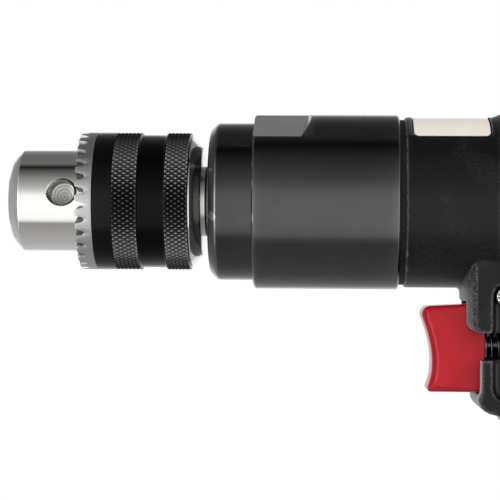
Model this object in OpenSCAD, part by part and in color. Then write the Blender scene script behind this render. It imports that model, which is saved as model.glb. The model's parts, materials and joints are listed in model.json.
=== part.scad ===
// Pistol-grip air drill with a keyed three-jaw chuck, a planetary gear and a vane motor.
// X runs from the chuck's nose to the rear of the tool along the spindle axis, Z is up,
// and the origin is where the spindle axis leaves the nose. All sizes are in millimetres.

/* [Chuck] */
// Diameter of the bare steel nose
nose_d = 25.2; // [24.6:0.1:26]
// Diameter of the flat face at the front of the nose
nose_face_d = 19.4; // [17:0.1:21]
// Length of the rounded edge at the front of the nose
nose_round = 3.6; // [2:0.1:5]
// Length of the nose in front of the sleeve
nose_len = 17.25; // [17:0.05:18.5]
// Diameter of the hole that takes the drill bit
bit_bore_d = 10.4; // [10.2:0.1:10.6]
// Length of the close front part of that hole
bit_guide_len = 4; // [2:0.1:4]
// Depth of the hole that takes the drill bit
bit_bore_len = 31; // [28:0.5:32]
// Outside diameter of the sleeve
sleeve_d = 34; // [33.6:0.1:36]
// Length of the sleeve
sleeve_len = 27.25; // [26.5:0.05:29]
// Wall of the sleeve over the jaws
sleeve_wall = 1.6; // [1.4:0.05:1.8]
// Depth of the plain groove round the sleeve
groove_depth = 0.6; // [0.3:0.1:0.8]
// Start of the plain groove behind the sleeve's front
groove_start = 14.45; // [13:0.05:16]
// Width of the plain groove
groove_w = 6.6; // [5:0.1:7.5]
// Thickness of the sleeve's front lip
sleeve_lip = 3.25; // [3:0.05:3.6]
// Number of key teeth on the sleeve's front
key_teeth = 30; // [24:1:36]
// Depth of the key teeth
key_tooth_depth = 2.2; // [1.5:0.1:2.6]
// Width of a tooth space at the front
key_space_w = 2; // [1.4:0.1:2.2]
// Diameter of the key holes
key_hole_d = 6.1; // [5.6:0.1:6.4]
// Distance of the key holes from the nose face
key_hole_x = 13.5; // [12.5:0.1:13.8]
// Depth of the key holes
key_hole_depth = 5.4; // [5:0.1:5.6]
// Depth of the drill's point in the floor of a key hole
key_hole_point = 1; // [0.6:0.1:1.2]
// Turn of the first key hole above the horizontal
key_hole_turn = 7.5; // [-30:0.5:30]
// Diameter of a jaw
jaw_d = 5.5; // [5.2:0.1:5.7]
// Slope of the jaws against the axis
jaw_slope = 15.5; // [15:0.1:16]
// Length of a jaw along the axis
jaw_len = 31; // [30:0.1:31.5]
// Depth of the open jaw tips behind the nose face
jaw_recess = 9; // [8.5:0.1:9.5]
// Radius between the open jaws
jaw_open_r = 5.4; // [5.35:0.01:5.6]
// Width of the split nut
nut_w = 6; // [5:0.1:6.5]
// Outside diameter of the split nut
nut_d = 29.2; // [28.4:0.1:30]
// Diameter of the chuck body's rear flange
flange_d = 32.4; // [31:0.1:33]
// Thickness of the rear flange
flange_t = 2.55; // [2:0.05:3.5]

/* [Spindle and bearings] */
// Thread diameter of the spindle nose
thread_d = 9.52; // [9:0.01:9.8]
// Length of the spindle nose inside the chuck
thread_len = 12.8; // [10:0.1:13]
// Diameter of the spindle's shoulder
hub_d = 17.3; // [16.5:0.1:18]
// Length of the shoulder that shows between chuck and housing
hub_show = 1.9; // [1:0.1:4]
// Shank diameter of the chuck screw
screw_d = 4; // [3.5:0.1:4.5]
// Bore of the front bearing
bearing_bore = 12; // [11.8:0.1:12.4]
// Outside diameter of the front bearing
bearing_od = 28; // [27.6:0.1:29]
// Width of the front bearing
bearing_w = 8; // [7:0.1:9]
// Bore of the rotor bearings
rotor_bearing_bore = 10; // [9.8:0.1:10.4]
// Outside diameter of the rotor bearings
rotor_bearing_od = 26; // [25.6:0.1:27]
// Width of the rotor bearings
rotor_bearing_w = 8; // [7:0.1:8.5]
// Number of balls in each bearing
ball_count = 8; // [6:1:8]

/* [Gear housing] */
// Step between the collar at the front and the main part
collar_step = 2.1; // [1.5:0.1:2.4]
// Length of the collar
collar_len = 10.8; // [10:0.1:12]
// Length of the rounded front edge of the collar
collar_round = 2.1; // [1:0.1:3]
// Height of the rounded front edge of the collar
collar_drop = 3.4; // [2:0.1:4]
// Wall of the main part over the ring gear
gearbox_wall = 3; // [2.8:0.1:4]
// Length of the main part
gearbox_len = 35.5; // [34:0.1:38]
// Depth of the two wrench flats
flat_depth = 1.5; // [0.5:0.1:1.7]
// Length of the wrench flats
flats_len = 12.75; // [12:0.05:15]
// Radius of the rounded end of the wrench flats
flats_end_r = 11; // [9:0.1:11.5]
// Turn of the wrench flats towards the viewer
flats_turn = 21; // [0:1:45]
// Front wall before the bearing
front_wall = 2.8; // [2.4:0.1:3.2]
// Thickness of the seal ring behind the gear housing
seal_t = 1.3; // [0.8:0.1:2]
// Height of the seal ring over the spigot
seal_h = 0.875; // [0.5:0.025:1.2]

/* [Gears] */
// Wall of the ring gear behind its teeth
ring_wall = 2.2175; // [2.1:0.0025:2.4]
// Face width of the planets
face_w = 8.9; // [8:0.1:9.5]
// Step of the ring gear over the motor cylinder
ring_step = 0.55; // [0.4:0.05:0.8]
// Diameter of the planet pins
planet_pin_d = 3.6; // [3:0.1:4]
// Thickness of the spindle's carrier disc
carrier_t = 5; // [4:0.1:5.5]
// Thickness of the rear carrier plate
plate_t = 2.5; // [2:0.1:3]
// Room between the carrier and the rim of the ring gear
carrier_gap = 3.9; // [3.7:0.05:4.4]

/* [Air motor] */
// Outside diameter of the motor cylinder
cylinder_od = 35.9; // [35.4:0.1:36.2]
// Middle wall of the motor cylinder
cylinder_wall = 3.05; // [2.8:0.05:3.15]
// Offset of the cylinder's bore from the spindle axis
cylinder_offset = 1.2; // [1:0.05:1.4]
// Length of the motor cylinder
cylinder_len = 44; // [40:0.5:46]
// Thickness of the end plates
end_plate_t = 10; // [9.5:0.1:11]
// Middle room between rotor and cylinder
rotor_gap = 1.7; // [1.5:0.05:1.9]
// Number of vanes
vane_count = 5; // [4:1:6]
// Thickness of a vane
vane_t = 1.6; // [1.2:0.1:2]
// Radial height of a vane
vane_h = 6.5; // [5:0.1:7]
// Diameter of the cylinder's locating pin
dowel_d = 2; // [1.5:0.1:2.2]

/* [Motor housing] */
// Wall of the barrel over the motor cylinder
barrel_wall = 3.05; // [2.85:0.05:3.5]
// Height of the swell over the handle
swell_h = 0.9; // [0.7:0.1:2]
// Radius of the barrel's front edge
barrel_round = 1.5; // [0.8:0.1:2]
// Length of the thinner front of the barrel
barrel_len = 21.2; // [20.5:0.1:24]
// Length of the swell between the two diameters
swell_len = 2.5; // [2:0.5:6]
// Wall of the threaded spigot inside the gear housing
spigot_wall = 1.55; // [1.35:0.05:1.75]
// Length of the housing behind the motor
rear_len = 38.5; // [30:0.5:45]
// Length of the rounded rear end
rear_round = 16; // [10:0.5:20]
// Diameter of the flat rear face
rear_face_d = 22; // [14:0.5:28]
// Length of the name plate
name_plate_len = 18.4; // [15:0.1:19]
// Width of the name plate over the curve
name_plate_w = 25; // [18:0.1:27]
// Thickness of the name plate
name_plate_t = 0.35; // [0.2:0.05:0.5]
// Start of the name plate behind the barrel's front
name_plate_x = 2.9; // [2:0.1:4]
// Radius of the side badge's outline
badge_r = 22; // [18:0.5:22]
// Height of the side badge
badge_h = 26; // [18:0.5:28]
// Depth of the side badge's recess
badge_depth = 0.7; // [0.5:0.05:0.9]
// Thickness of the badge plate
badge_t = 0.4; // [0.2:0.05:0.45]

/* [Handle] */
// Distance of the handle's neck behind the barrel's front
neck_x = 13.95; // [12:0.05:16]
// Width of the handle's neck
handle_w = 30; // [29.6:0.1:33]
// Width of the grip
grip_w = 29; // [28:0.1:29.4]
// Radius of the handle's front seen from above
handle_nose_r = 42; // [30:0.5:60]
// Slope of the grip towards the rear
grip_slope = 8; // [5:0.5:12]
// Depth of the grip from front to back
grip_depth = 37; // [36:0.5:40]
// Corner radius of the grip's section
grip_corner = 11; // [8:0.5:13]
// Length of the grip below the finger lip
grip_len = 82; // [75:1:100]
// Gap between the trigger and the finger lip
lip_gap = 0.3; // [0.3:0.1:2]
// Depth of the side recess
recess_depth = 3.5; // [3:0.1:4]
// Width of the rim in front of the side recess
rim_w = 5.6; // [5:0.1:6.5]

/* [Trigger] */
// Width of the trigger
trigger_w = 16; // [14:0.1:16.6]
// Gap between the barrel and the trigger
trigger_gap = 3.5; // [3:0.1:4]
// Height of the trigger
trigger_h = 22.2; // [20:0.1:22.2]
// Depth of the trigger from its front lip to its back
trigger_depth = 15.5; // [14:0.1:17]
// Distance of the trigger's front before the neck
trigger_reach = 10; // [8:0.05:10.5]
// Travel of the trigger
trigger_travel = 6; // [4:0.1:6.5]
// Distance of the stem below the trigger's top
stem_drop = 10.5; // [9.5:0.1:11.5]
// Diameter of the stem
stem_d = 4; // [3.6:0.1:4.2]
// Outside diameter of the trigger spring
spring_od = 6.2; // [5.8:0.1:6.6]
// Wire diameter of the trigger spring
spring_wire = 0.6; // [0.5:0.05:0.7]
// Number of turns of the trigger spring
spring_turns = 6; // [3:1:6]
// Depth of the trigger slot behind the neck
slot_depth = 15.25; // [14:0.05:17]
// Height of the notch in the side walls
notch_h = 6.4; // [4:0.1:7]

/* [Valves] */
// Outside diameter of the trigger bush
bush_d = 9; // [8:0.1:9.6]
// Length of the trigger bush
bush_len = 8; // [6:0.1:9]
// Bore of the throttle chamber
chamber_d = 10; // [9.8:0.1:10.4]
// Thickness of the valve seat
seat_t = 3; // [2:0.1:4]
// Length of the throttle valve's head
valve_len = 4; // [3:0.1:5]
// Diameter of the throttle valve's head
valve_d = 8; // [7:0.1:9]
// Length of the throttle spring
throttle_spring_len = 9; // [8:0.1:10]
// Diameter of the reversing valve
reverse_d = 7; // [6:0.1:7.4]
// Distance of the reversing valve below the trigger's top
reverse_drop = 0.7; // [0.7:0.1:1]
// Length of the reversing lever
lever_len = 15.7; // [13:0.1:16]
// Width of the lever's tip
lever_tip_w = 4.4; // [3.5:0.1:5]
// Thickness of the lever
lever_t = 2.6; // [2:0.1:3]

/* [Inlet and exhaust] */
// Bore of the air inlet's pipe thread
inlet_d = 11.2; // [11:0.1:11.6]
// Depth of the pipe thread
inlet_thread_len = 11; // [10:0.5:13]
// Width across the flats of the inlet bush
inlet_hex = 18; // [17.5:0.5:20]
// Height of the inlet bush's hexagon
inlet_hex_h = 8; // [6:0.5:10]
// Diameter of the bush's body in the handle
inlet_body_d = 16; // [15.5:0.1:16.4]
// Length of the bush's body in the handle
inlet_body_len = 14; // [12:0.5:16]
// Outside diameter of the exhaust deflector
deflector_d = 29; // [28:0.5:29.5]
// Height of the exhaust deflector
deflector_h = 10; // [8:0.5:12]
// Wall of the exhaust deflector
deflector_wall = 2; // [1.5:0.1:2.5]

/* [Clearances] */
// Radial clearance of running fits
run_fit = 0.05; // [0.02:0.01:0.09]
// Gap between parts that pass each other
pass_gap = 0.3; // [0.25:0.01:0.4]
// Backlash of the gear teeth
backlash = 0.12; // [0.1:0.01:0.16]

/* [Hidden] */
$fn = 64;
// How far a cut runs past the face that it opens
cut = 0.5;
// Steps of a rounded edge drawn as an outline
arc_steps = 8;

// Tooth numbers: sun, planet and ring, with three planets
sun_teeth = 12;
planet_teeth = 18;
ring_teeth = 48;
planet_count = 3;
pressure_angle = 20;
tooth_addendum = 0.8;
tooth_dedendum = 1.05;

// Diameters that follow the motor cylinder
cylinder_bore = cylinder_od - 2 * cylinder_wall;
rotor_d = cylinder_bore - 2 * rotor_gap;
ring_od = cylinder_od + 2 * ring_step;
tooth_module = (ring_od - 2 * ring_wall) / (ring_teeth + 2 * tooth_dedendum);
carrier_d = ring_od - 2 * carrier_gap;
gearbox_d = ring_od + 2 * gearbox_wall;
collar_d = gearbox_d - 2 * collar_step;
flats_across = gearbox_d - 2 * flat_depth;
spigot_d = cylinder_od + 2 * spigot_wall;
seal_d = spigot_d + 2 * seal_h;
barrel_d = cylinder_od + 2 * barrel_wall;
rear_d = barrel_d + 2 * swell_h;

// Heights below the spindle axis that follow the barrel
trigger_top = barrel_d / 2 + trigger_gap;
stem_z = trigger_top + stem_drop;
reverse_z = trigger_top + reverse_drop;
lip_z = trigger_top + trigger_h + lip_gap;

// Stations of the chuck along the axis
sleeve_x1 = nose_len + sleeve_len;
nut_x0 = nose_len + sleeve_lip;
nut_x1 = nut_x0 + nut_w;
flange_x0 = sleeve_x1 + pass_gap;
flange_x1 = flange_x0 + flange_t;
jaw_rear_x = jaw_recess + jaw_len;
guide_x0 = jaw_rear_x + pass_gap;
thread_x0 = flange_x1 - thread_len;

// Radii of the chuck
nose_r = nose_d / 2;
bit_bore_r = bit_bore_d / 2;
bit_relief = 0.4;
sleeve_bore_r = sleeve_d / 2 - sleeve_wall;
nut_r = nut_d / 2;
jaw_reach = jaw_d / 2 / cos(jaw_slope);
jaw_rear_r = sleeve_bore_r - pass_gap - jaw_reach;
waist_r = jaw_r(nut_x0) + jaw_reach - pass_gap / 2;
key_hole_r = key_hole_d / 2;
screw_head_r = screw_d * 0.95;
screw_head_h = screw_d * 0.8;
screw_grip = 9;
screw_socket = screw_head_h * 0.6;
flange_drop = 3.2;
sleeve_r = sleeve_d / 2;
sleeve_edge = 0.6;
// A key tooth space narrows at its shoulder and again at its root
tooth_shoulder_x = key_tooth_depth * 0.6;
tooth_shoulder_w = key_space_w * 0.76;
tooth_root_w = key_space_w * 0.4;

// Stations of the gear housing
housing_x0 = flange_x1 + hub_show;
collar_x1 = housing_x0 + collar_len;
gearbox_x1 = collar_x1 + gearbox_len;
bearing_x0 = housing_x0 + front_wall;
bearing_x1 = bearing_x0 + bearing_w;
shoulder_len = 1;
shoulder_r = bearing_bore / 2 + 1.4;
spacer_t = 1.5;
carrier_x0 = bearing_x1 + shoulder_len;
carrier_x1 = carrier_x0 + carrier_t;
planet_x0 = carrier_x1 + pass_gap;
planet_x1 = planet_x0 + face_w;
plate_x0 = planet_x1 + pass_gap;
plate_x1 = plate_x0 + plate_t;
ring_x1 = planet_x1 + 2 * pass_gap;
spacer_x1 = plate_x1 + spacer_t;

// Radii of the gear housing
hub_r = hub_d / 2;
seal_wall = 2.2;
seal_r = hub_r + run_fit + seal_wall;
collar_r = collar_d / 2;
gearbox_r = gearbox_d / 2;
ring_r = ring_od / 2;
spigot_r = spigot_d / 2;
ring_ledge = 1.5;
gear_cavity_r = ring_r - ring_ledge;
edge = 0.4;

// Gear sizes
sun_pitch_r = tooth_module * sun_teeth / 2;
planet_pitch_r = tooth_module * planet_teeth / 2;
ring_pitch_r = tooth_module * ring_teeth / 2;
planet_orbit = sun_pitch_r + planet_pitch_r;

// Stations of the air motor
front_plate_x0 = spacer_x1;
front_plate_x1 = front_plate_x0 + end_plate_t;
rear_plate_x0 = front_plate_x1 + cylinder_len;
rear_plate_x1 = rear_plate_x0 + end_plate_t;
rotor_x0 = front_plate_x1 + pass_gap;
rotor_x1 = rear_plate_x0 - pass_gap;
shaft_x0 = plate_x1 + 2 * pass_gap;
cylinder_r = cylinder_od / 2;
rotor_shaft_r = rotor_bearing_bore / 2;
vane_tip_r = cylinder_bore / 2 - cylinder_offset - pass_gap / 2;
dowel_z = (cylinder_r + cylinder_bore / 2 - cylinder_offset) / 2;

// Stations and radii of the motor housing
barrel_x0 = gearbox_x1 + seal_t;
rear_x1 = rear_plate_x1 + rear_len;
spigot_x0 = front_plate_x0 + pass_gap;
barrel_r = barrel_d / 2;
rear_r = rear_d / 2;
motor_bore_r = cylinder_r + run_fit;
rear_chamber_r = 13;
rear_chamber_len = 18;
handle_x = barrel_x0 + neck_x;
badge_x = barrel_x0 + barrel_len + swell_len + edge + badge_r;
badge_z = 2;

// Places in the handle
handle_r = handle_w / 2;
slot_w = trigger_w + 2 * pass_gap;
slot_top = trigger_top - pass_gap;
slot_bottom = trigger_top + trigger_h + pass_gap;
slot_x1 = handle_x + slot_depth;
trigger_x0 = handle_x - trigger_reach;
trigger_x1 = trigger_x0 + trigger_depth;
trigger_at = [trigger_x0, -trigger_top];
rim_setback = 2.5;
recess_x0 = handle_x + rim_setback + rim_w;
recess_back = 24;
recess_x1 = slot_x1 + recess_back;
recess_rise = 0.5;
recess_top = barrel_r - recess_rise;
lip_thin = 0.7;
recess_bottom = lip_z + lip_thin;
recess_corner = 2.5;
recess_y = handle_r - recess_depth;
grip_setback = 29.75;
grip_x = handle_x + grip_setback;
grip_drop = 3;
grip_z = lip_z + grip_drop;
grip_top = 38;
lip_at = [handle_x + 3.5, -lip_z];
wall_front = handle_x + 4.4;
neck_back = grip_x + 4;
// The finger lip's underside: where it leaves the front, its round and its slope to the grip
lip_leave = [0, -0.8];
lip_round = [0.4, -4.2];
lip_under = [5.5, -4.6];
lip_slope = [8, -8];
lip_end = 12;
// The trigger's front: its round top, its hollow and its lower lip
trigger_round = 2;
trigger_top_lip = [0.05, -2.5];
trigger_hollow = [4.2, -0.63 * trigger_h];
trigger_low_lip = [1.5, 0.5 - trigger_h];
plate_corner = 1.2;

// Places of the valves
bush_x1 = slot_x1 + bush_len;
port_len = 2;
port_d = 2.4;
seat_x0 = bush_x1 + port_len;
seat_x1 = seat_x0 + seat_t;
valve_x0 = seat_x1 + run_fit;
valve_x1 = valve_x0 + valve_len;
chamber_x1 = valve_x1 + throttle_spring_len;
valve_tail = throttle_spring_len - trigger_travel - 2 * pass_gap;
stem_x1 = valve_x0 - 2 * run_fit;
stem_r = stem_d / 2;
stem_grip = 8;
oring_t = 1.5;
reverse_x = bush_x1 + port_len / 2;
reverse_r = reverse_d / 2;
reverse_oring_t = 0.9;
lever_y = recess_y + pass_gap;
lever_hub_r = 4.4;
lever_rise = 1.95;
lever_tip_x = -lever_len + lever_tip_w / 2;
lever_pin_r = 2.5;

// Places in the grip, in the grip's own sloping frame
bush_r = inlet_body_d / 2;
deflector_gap = 0.1;
hex_z = -grip_len - deflector_h - 2 * deflector_gap;
exhaust_wall = 1;
exhaust_x = bush_r + exhaust_wall;
exhaust_rise = 6;
exhaust_y = 7.4;
exhaust_r = 2;
supply_r = 3.5;
supply_inset = 0.5;
supply_x = bush_r - supply_r - supply_inset;
plenum_h = 3;
neck_r = bush_r - edge;
bush_ledge = 1;
strainer_ledge = 0.3;
strainer_gap = 0.5;
strainer_r = inlet_d / 2 - strainer_ledge;
strainer_t = 2 * edge;
strainer_orbit = inlet_d / 3.6;
strainer_hole_d = inlet_d / 5;
deflector_z = -grip_len - deflector_gap - deflector_h;
exhaust_slot_step = 16;

// A round solid about the spindle axis: each point is a radius and a station along X
module turned(points) rotate([0, 90, 0]) rotate_extrude() polygon(points);

// A round bar along X
module bar(r, x0, x1) translate([x0, 0, 0]) rotate([0, 90, 0]) cylinder(r = r, h = x1 - x0);

// A plain ring along X
module ring(r_out, r_in, x0, x1) turned([[r_in, x0], [r_out, x0], [r_out, x1], [r_in, x1]]);

// A flat outline in Y and Z, drawn out along X
module drawn_x(x0, x1) translate([x0, 0, 0]) rotate([90, 0, 90]) linear_extrude(x1 - x0) children();

// A flat outline in X and Z, drawn out along Y between two places
module drawn_y(y0, y1) translate([0, y1, 0]) rotate([90, 0, 0]) linear_extrude(y1 - y0) children();

// A rectangle with round corners between two corner points
module round_box(low, high, r) {
    translate([low[0] + r, low[1]]) square([high[0] - low[0] - 2 * r, high[1] - low[1]]);
    translate([low[0], low[1] + r]) square([high[0] - low[0], high[1] - low[1] - 2 * r]);
    for (x = [low[0] + r, high[0] - r], y = [low[1] + r, high[1] - r])
        translate([x, y]) circle(r = r, $fn = 32);
}

// Points of a rounded edge from one point to another, leaving along the first axis
function rounded(p, q) = [for (i = [0:arc_steps]) let (t = 90 * i / arc_steps)
    [p[0] + (q[0] - p[0]) * sin(t), p[1] + (q[1] - p[1]) * (1 - cos(t))]];

// Points of a rounded edge from one point to another, leaving along the second axis
function rounded_end(p, q) = [for (i = [0:arc_steps]) let (t = 90 * i / arc_steps)
    [p[0] + (q[0] - p[0]) * (1 - cos(t)), p[1] + (q[1] - p[1]) * sin(t)]];

// Points of a curve with three control points
function curve(p, q, r) = [for (i = [0:arc_steps]) let (t = i / arc_steps)
    (1 - t) * (1 - t) * p + 2 * t * (1 - t) * q + t * t * r];

// The grip's own frame: its Z runs up the middle of the grip
module in_grip() translate([grip_x, 0, -grip_z]) rotate([0, -grip_slope, 0]) children();

// Involute gear outline: half a tooth's angle falls with the radius
function involute(a) = tan(a) * 180 / PI - a;
function half_tooth(r, base_r, at_pitch) =
    at_pitch + involute(pressure_angle) - involute(acos(min(1, base_r / r)));
function gear_points(teeth, tip_r, root_r, slack) =
    let (pitch_r = tooth_module * teeth / 2,
         base_r = pitch_r * cos(pressure_angle),
         low_r = max(base_r, root_r),
         at_pitch = 90 / teeth + slack / pitch_r * 90 / PI,
         steps = 3)
    [for (i = [0:teeth - 1], side = [-1, 1], k = [0:steps + 1])
        let (j = side < 0 ? k : steps + 1 - k,
             r = j == 0 ? root_r : low_r + (tip_r - low_r) * (j - 1) / steps,
             a = 360 * i / teeth + side * half_tooth(max(r, low_r), base_r, at_pitch))
        [r * cos(a), r * sin(a)]];
module gear_outline(teeth) {
    pitch_r = tooth_module * teeth / 2;
    polygon(gear_points(teeth, pitch_r + tooth_addendum * tooth_module,
        pitch_r - tooth_dedendum * tooth_module, -backlash / 2));
}

// Chuck

// Distance of a jaw's middle line from the axis
function jaw_r(x) = jaw_rear_r + (x - jaw_rear_x) * tan(jaw_slope);

// Turn of a jaw about the axis: the jaws lie between the key holes
function jaw_turn(i) = 90 - key_hole_turn + 60 + 120 * i;

// A sloping round bar where a jaw runs, drawn for the jaw above the axis
module jaw_bar(r, x0, x1) intersection() {
    translate([jaw_rear_x, 0, jaw_rear_r]) rotate([0, 90 - jaw_slope, 0])
        translate([0, 0, -2 * jaw_len]) cylinder(r = r, h = 3 * jaw_len);
    translate([x0, -sleeve_d, -sleeve_d]) cube([x1 - x0, 2 * sleeve_d, 2 * sleeve_d]);
}

module key_hole() {
    floor_r = nose_r - key_hole_depth;
    translate([key_hole_x, 0, 0]) {
        translate([0, 0, floor_r]) cylinder(r = key_hole_r, h = key_hole_depth + cut);
        translate([0, 0, floor_r - key_hole_point]) cylinder(r1 = 0, r2 = key_hole_r, h = key_hole_point);
    }
}

module chuck_body() color("silver") difference() {
    turned(concat(
        [[0, 0]], rounded([nose_face_d / 2, 0], [nose_r, nose_round]),
        [[nose_r, nut_x0 - pass_gap], [waist_r, nut_x0 - pass_gap],
         [waist_r, nut_x1 + pass_gap], [nose_r, nut_x1 + pass_gap],
         [nose_r, guide_x0], [sleeve_bore_r - run_fit, guide_x0],
         [sleeve_bore_r - run_fit, flange_x0], [flange_d / 2 - edge, flange_x0]],
        rounded_end([flange_d / 2, flange_x0 + edge], [flange_d / 2 - flange_drop, flange_x1]),
        [[0, flange_x1]]));
    bar(bit_bore_r, -cut, bit_guide_len + cut);
    bar(bit_bore_r + bit_relief, bit_guide_len, bit_bore_len);
    bar(screw_d / 2 + run_fit, bit_bore_len - cut, thread_x0 + cut);
    bar(thread_d / 2, thread_x0, flange_x1 + cut);
    for (i = [0:2]) {
        rotate([jaw_turn(i), 0, 0]) jaw_bar(jaw_d / 2 + run_fit, -cut, guide_x0);
        rotate([jaw_turn(i) + 60, 0, 0]) key_hole();
    }
}

// A jaw's two gripping faces meet in an edge that lies along the axis
module chuck_jaw(i) color("dimgray") rotate([jaw_turn(i), 0, 0]) intersection() {
    jaw_bar(jaw_d / 2, jaw_recess, jaw_rear_x);
    drawn_x(jaw_recess, jaw_rear_x) polygon([
        [0, jaw_open_r], [jaw_d, jaw_open_r + jaw_d * tan(30)], [jaw_d, sleeve_d],
        [-jaw_d, sleeve_d], [-jaw_d, jaw_open_r + jaw_d * tan(30)]]);
}

module chuck_nut() color("gray") difference() {
    turned([
        [jaw_r(nut_x0) + jaw_reach + pass_gap / 2, nut_x0], [nut_r, nut_x0],
        [nut_r, nut_x1], [jaw_r(nut_x1) + jaw_reach + pass_gap / 2, nut_x1]]);
    translate([nut_x0 - cut, -pass_gap / 2, -sleeve_d]) cube([nut_w + 2 * cut, pass_gap, 2 * sleeve_d]);
}

module chuck_sleeve() color([0.1, 0.1, 0.1]) difference() {
    turned(concat(
        [[nose_r + run_fit, nose_len], [sleeve_r - sleeve_edge, nose_len], [sleeve_r, nose_len + sleeve_edge],
         [sleeve_r, nose_len + groove_start], [sleeve_r - groove_depth, nose_len + groove_start + edge],
         [sleeve_r - groove_depth, nose_len + groove_start + groove_w - edge],
         [sleeve_r, nose_len + groove_start + groove_w]],
        rounded_end([sleeve_r, sleeve_x1 - sleeve_wall], [sleeve_r - sleeve_wall / 2, sleeve_x1]),
        [[sleeve_bore_r, sleeve_x1], [sleeve_bore_r, nut_x1], [nut_r, nut_x1], [nut_r, nut_x0],
         [nose_r + run_fit, nut_x0]]));
    for (i = [0:key_teeth - 1]) rotate([360 * i / key_teeth, 0, 0]) translate([nose_len, 0, nose_r - cut])
        linear_extrude(sleeve_d) polygon([
            [-cut, -key_space_w / 2], [tooth_shoulder_x, -tooth_shoulder_w / 2],
            [key_tooth_depth, -tooth_root_w / 2], [key_tooth_depth, tooth_root_w / 2],
            [tooth_shoulder_x, tooth_shoulder_w / 2], [-cut, key_space_w / 2]]);
}

module chuck_screw() color("gray") difference() {
    union() {
        bar(screw_head_r, bit_bore_len - screw_head_h, bit_bore_len);
        bar(screw_d / 2, bit_bore_len, thread_x0 + screw_grip);
    }
    translate([bit_bore_len - screw_head_h - cut, 0, 0]) rotate([0, 90, 0])
        cylinder(d = screw_d, h = screw_socket + cut, $fn = 6);
}

// Spindle, bearings and gears

module spindle() color("silver") difference() {
    turned([
        [0, thread_x0], [thread_d / 2, thread_x0], [thread_d / 2, flange_x1], [hub_r, flange_x1],
        [hub_r, bearing_x0], [bearing_bore / 2, bearing_x0], [bearing_bore / 2, bearing_x1],
        [shoulder_r, bearing_x1], [shoulder_r, carrier_x0],
        [carrier_d / 2, carrier_x0], [carrier_d / 2, carrier_x1], [0, carrier_x1]]);
    bar(screw_d / 2, thread_x0 - cut, thread_x0 + screw_grip);
    for (i = [0:planet_count - 1]) at_planet(i) bar(planet_pin_d / 2, carrier_x0 - cut, carrier_x1 + cut);
}

// Moves a shape from the axis to where a planet turns
module at_planet(i) rotate([90 + 360 * i / planet_count, 0, 0]) translate([0, planet_orbit, 0]) children();

module spindle_seal() color("dimgray")
    ring(seal_r, hub_r + run_fit, housing_x0 + edge, bearing_x0);

// A ball bearing in three pieces: the space between bore and rim is shared by rings and balls
ball_share = 0.3;
function ball_d(bore, od) = (od - bore) * ball_share;
function ball_orbit(bore, od) = (od + bore) / 4;
module bearing_outer(bore, od, x0, x1) color("silver")
    ring(od / 2, ball_orbit(bore, od) + ball_d(bore, od) / 2 + run_fit, x0, x1);
module bearing_inner(bore, od, x0, x1) color("silver")
    ring(ball_orbit(bore, od) - ball_d(bore, od) / 2 - run_fit, bore / 2, x0, x1);
module bearing_balls(bore, od, x0, x1) color("goldenrod") {
    cage_t = ball_d(bore, od) / 4;
    orbit = ball_orbit(bore, od);
    ring(orbit + cage_t / 2, orbit - cage_t / 2, x0 + (x1 - x0) / 4, x1 - (x1 - x0) / 4);
    for (i = [0:ball_count - 1]) rotate([360 * i / ball_count, 0, 0]) translate([(x0 + x1) / 2, 0, orbit])
        sphere(d = ball_d(bore, od), $fn = 32);
}

module front_bearing_outer() bearing_outer(bearing_bore, bearing_od, bearing_x0, bearing_x1);
module front_bearing_inner() bearing_inner(bearing_bore, bearing_od, bearing_x0, bearing_x1);
module front_bearing_balls() bearing_balls(bearing_bore, bearing_od, bearing_x0, bearing_x1);

module planet_gear(i) color("gray") at_planet(i) difference() {
    drawn_x(planet_x0, planet_x1) rotate(180 / planet_teeth) gear_outline(planet_teeth);
    bar(planet_pin_d / 2 + run_fit, planet_x0 - cut, planet_x1 + cut);
}

module planet_pins() color("silver") for (i = [0:planet_count - 1])
    at_planet(i) bar(planet_pin_d / 2, carrier_x0, plate_x1);

module carrier_plate() color("gray") difference() {
    ring(carrier_d / 2, rotor_shaft_r + pass_gap, plate_x0, plate_x1);
    for (i = [0:planet_count - 1]) at_planet(i) bar(planet_pin_d / 2, plate_x0 - cut, plate_x1 + cut);
}

module ring_gear() color("gray") drawn_x(carrier_x1, ring_x1) difference() {
    circle(r = ring_r);
    rotate(180 / ring_teeth) polygon(gear_points(ring_teeth,
        ring_pitch_r + tooth_dedendum * tooth_module,
        ring_pitch_r - tooth_addendum * tooth_module, backlash / 2));
}

module gear_spacer() color("silver") ring(ring_r, carrier_d / 2 + 2 * pass_gap, ring_x1, spacer_x1);

// A wrench flat milled along the housing, with the cutter's round end
module wrench_flat() translate([0, 0, flats_across / 2]) {
    translate([collar_x1 - cut, -flats_end_r, 0])
        cube([flats_len - flats_end_r + cut, 2 * flats_end_r, gearbox_d]);
    translate([collar_x1 + flats_len - flats_end_r, 0, 0]) cylinder(r = flats_end_r, h = gearbox_d);
}

module gear_housing() color([0.08, 0.08, 0.08]) difference() {
    turned(concat(
        [[0, housing_x0]],
        rounded([collar_r - collar_drop, housing_x0], [collar_r, housing_x0 + collar_round]),
        [[collar_r, collar_x1], [gearbox_r - edge, collar_x1], [gearbox_r, collar_x1 + edge],
         [gearbox_r, gearbox_x1 - edge], [gearbox_r - edge, gearbox_x1], [0, gearbox_x1]]));
    bar(seal_r, housing_x0 - cut, bearing_x0 + cut);
    bar(bearing_od / 2, bearing_x0, carrier_x0);
    bar(gear_cavity_r, carrier_x0 - pass_gap, carrier_x1 + cut);
    bar(ring_r, carrier_x1, spacer_x1);
    bar(spigot_r, spacer_x1, gearbox_x1 + cut);
    for (side = [0, 180]) rotate([side + flats_turn, 0, 0]) wrench_flat();
}

module housing_seal() color([0.05, 0.05, 0.05]) ring(seal_d / 2, spigot_r, gearbox_x1, barrel_x0);

// Air motor

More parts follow.
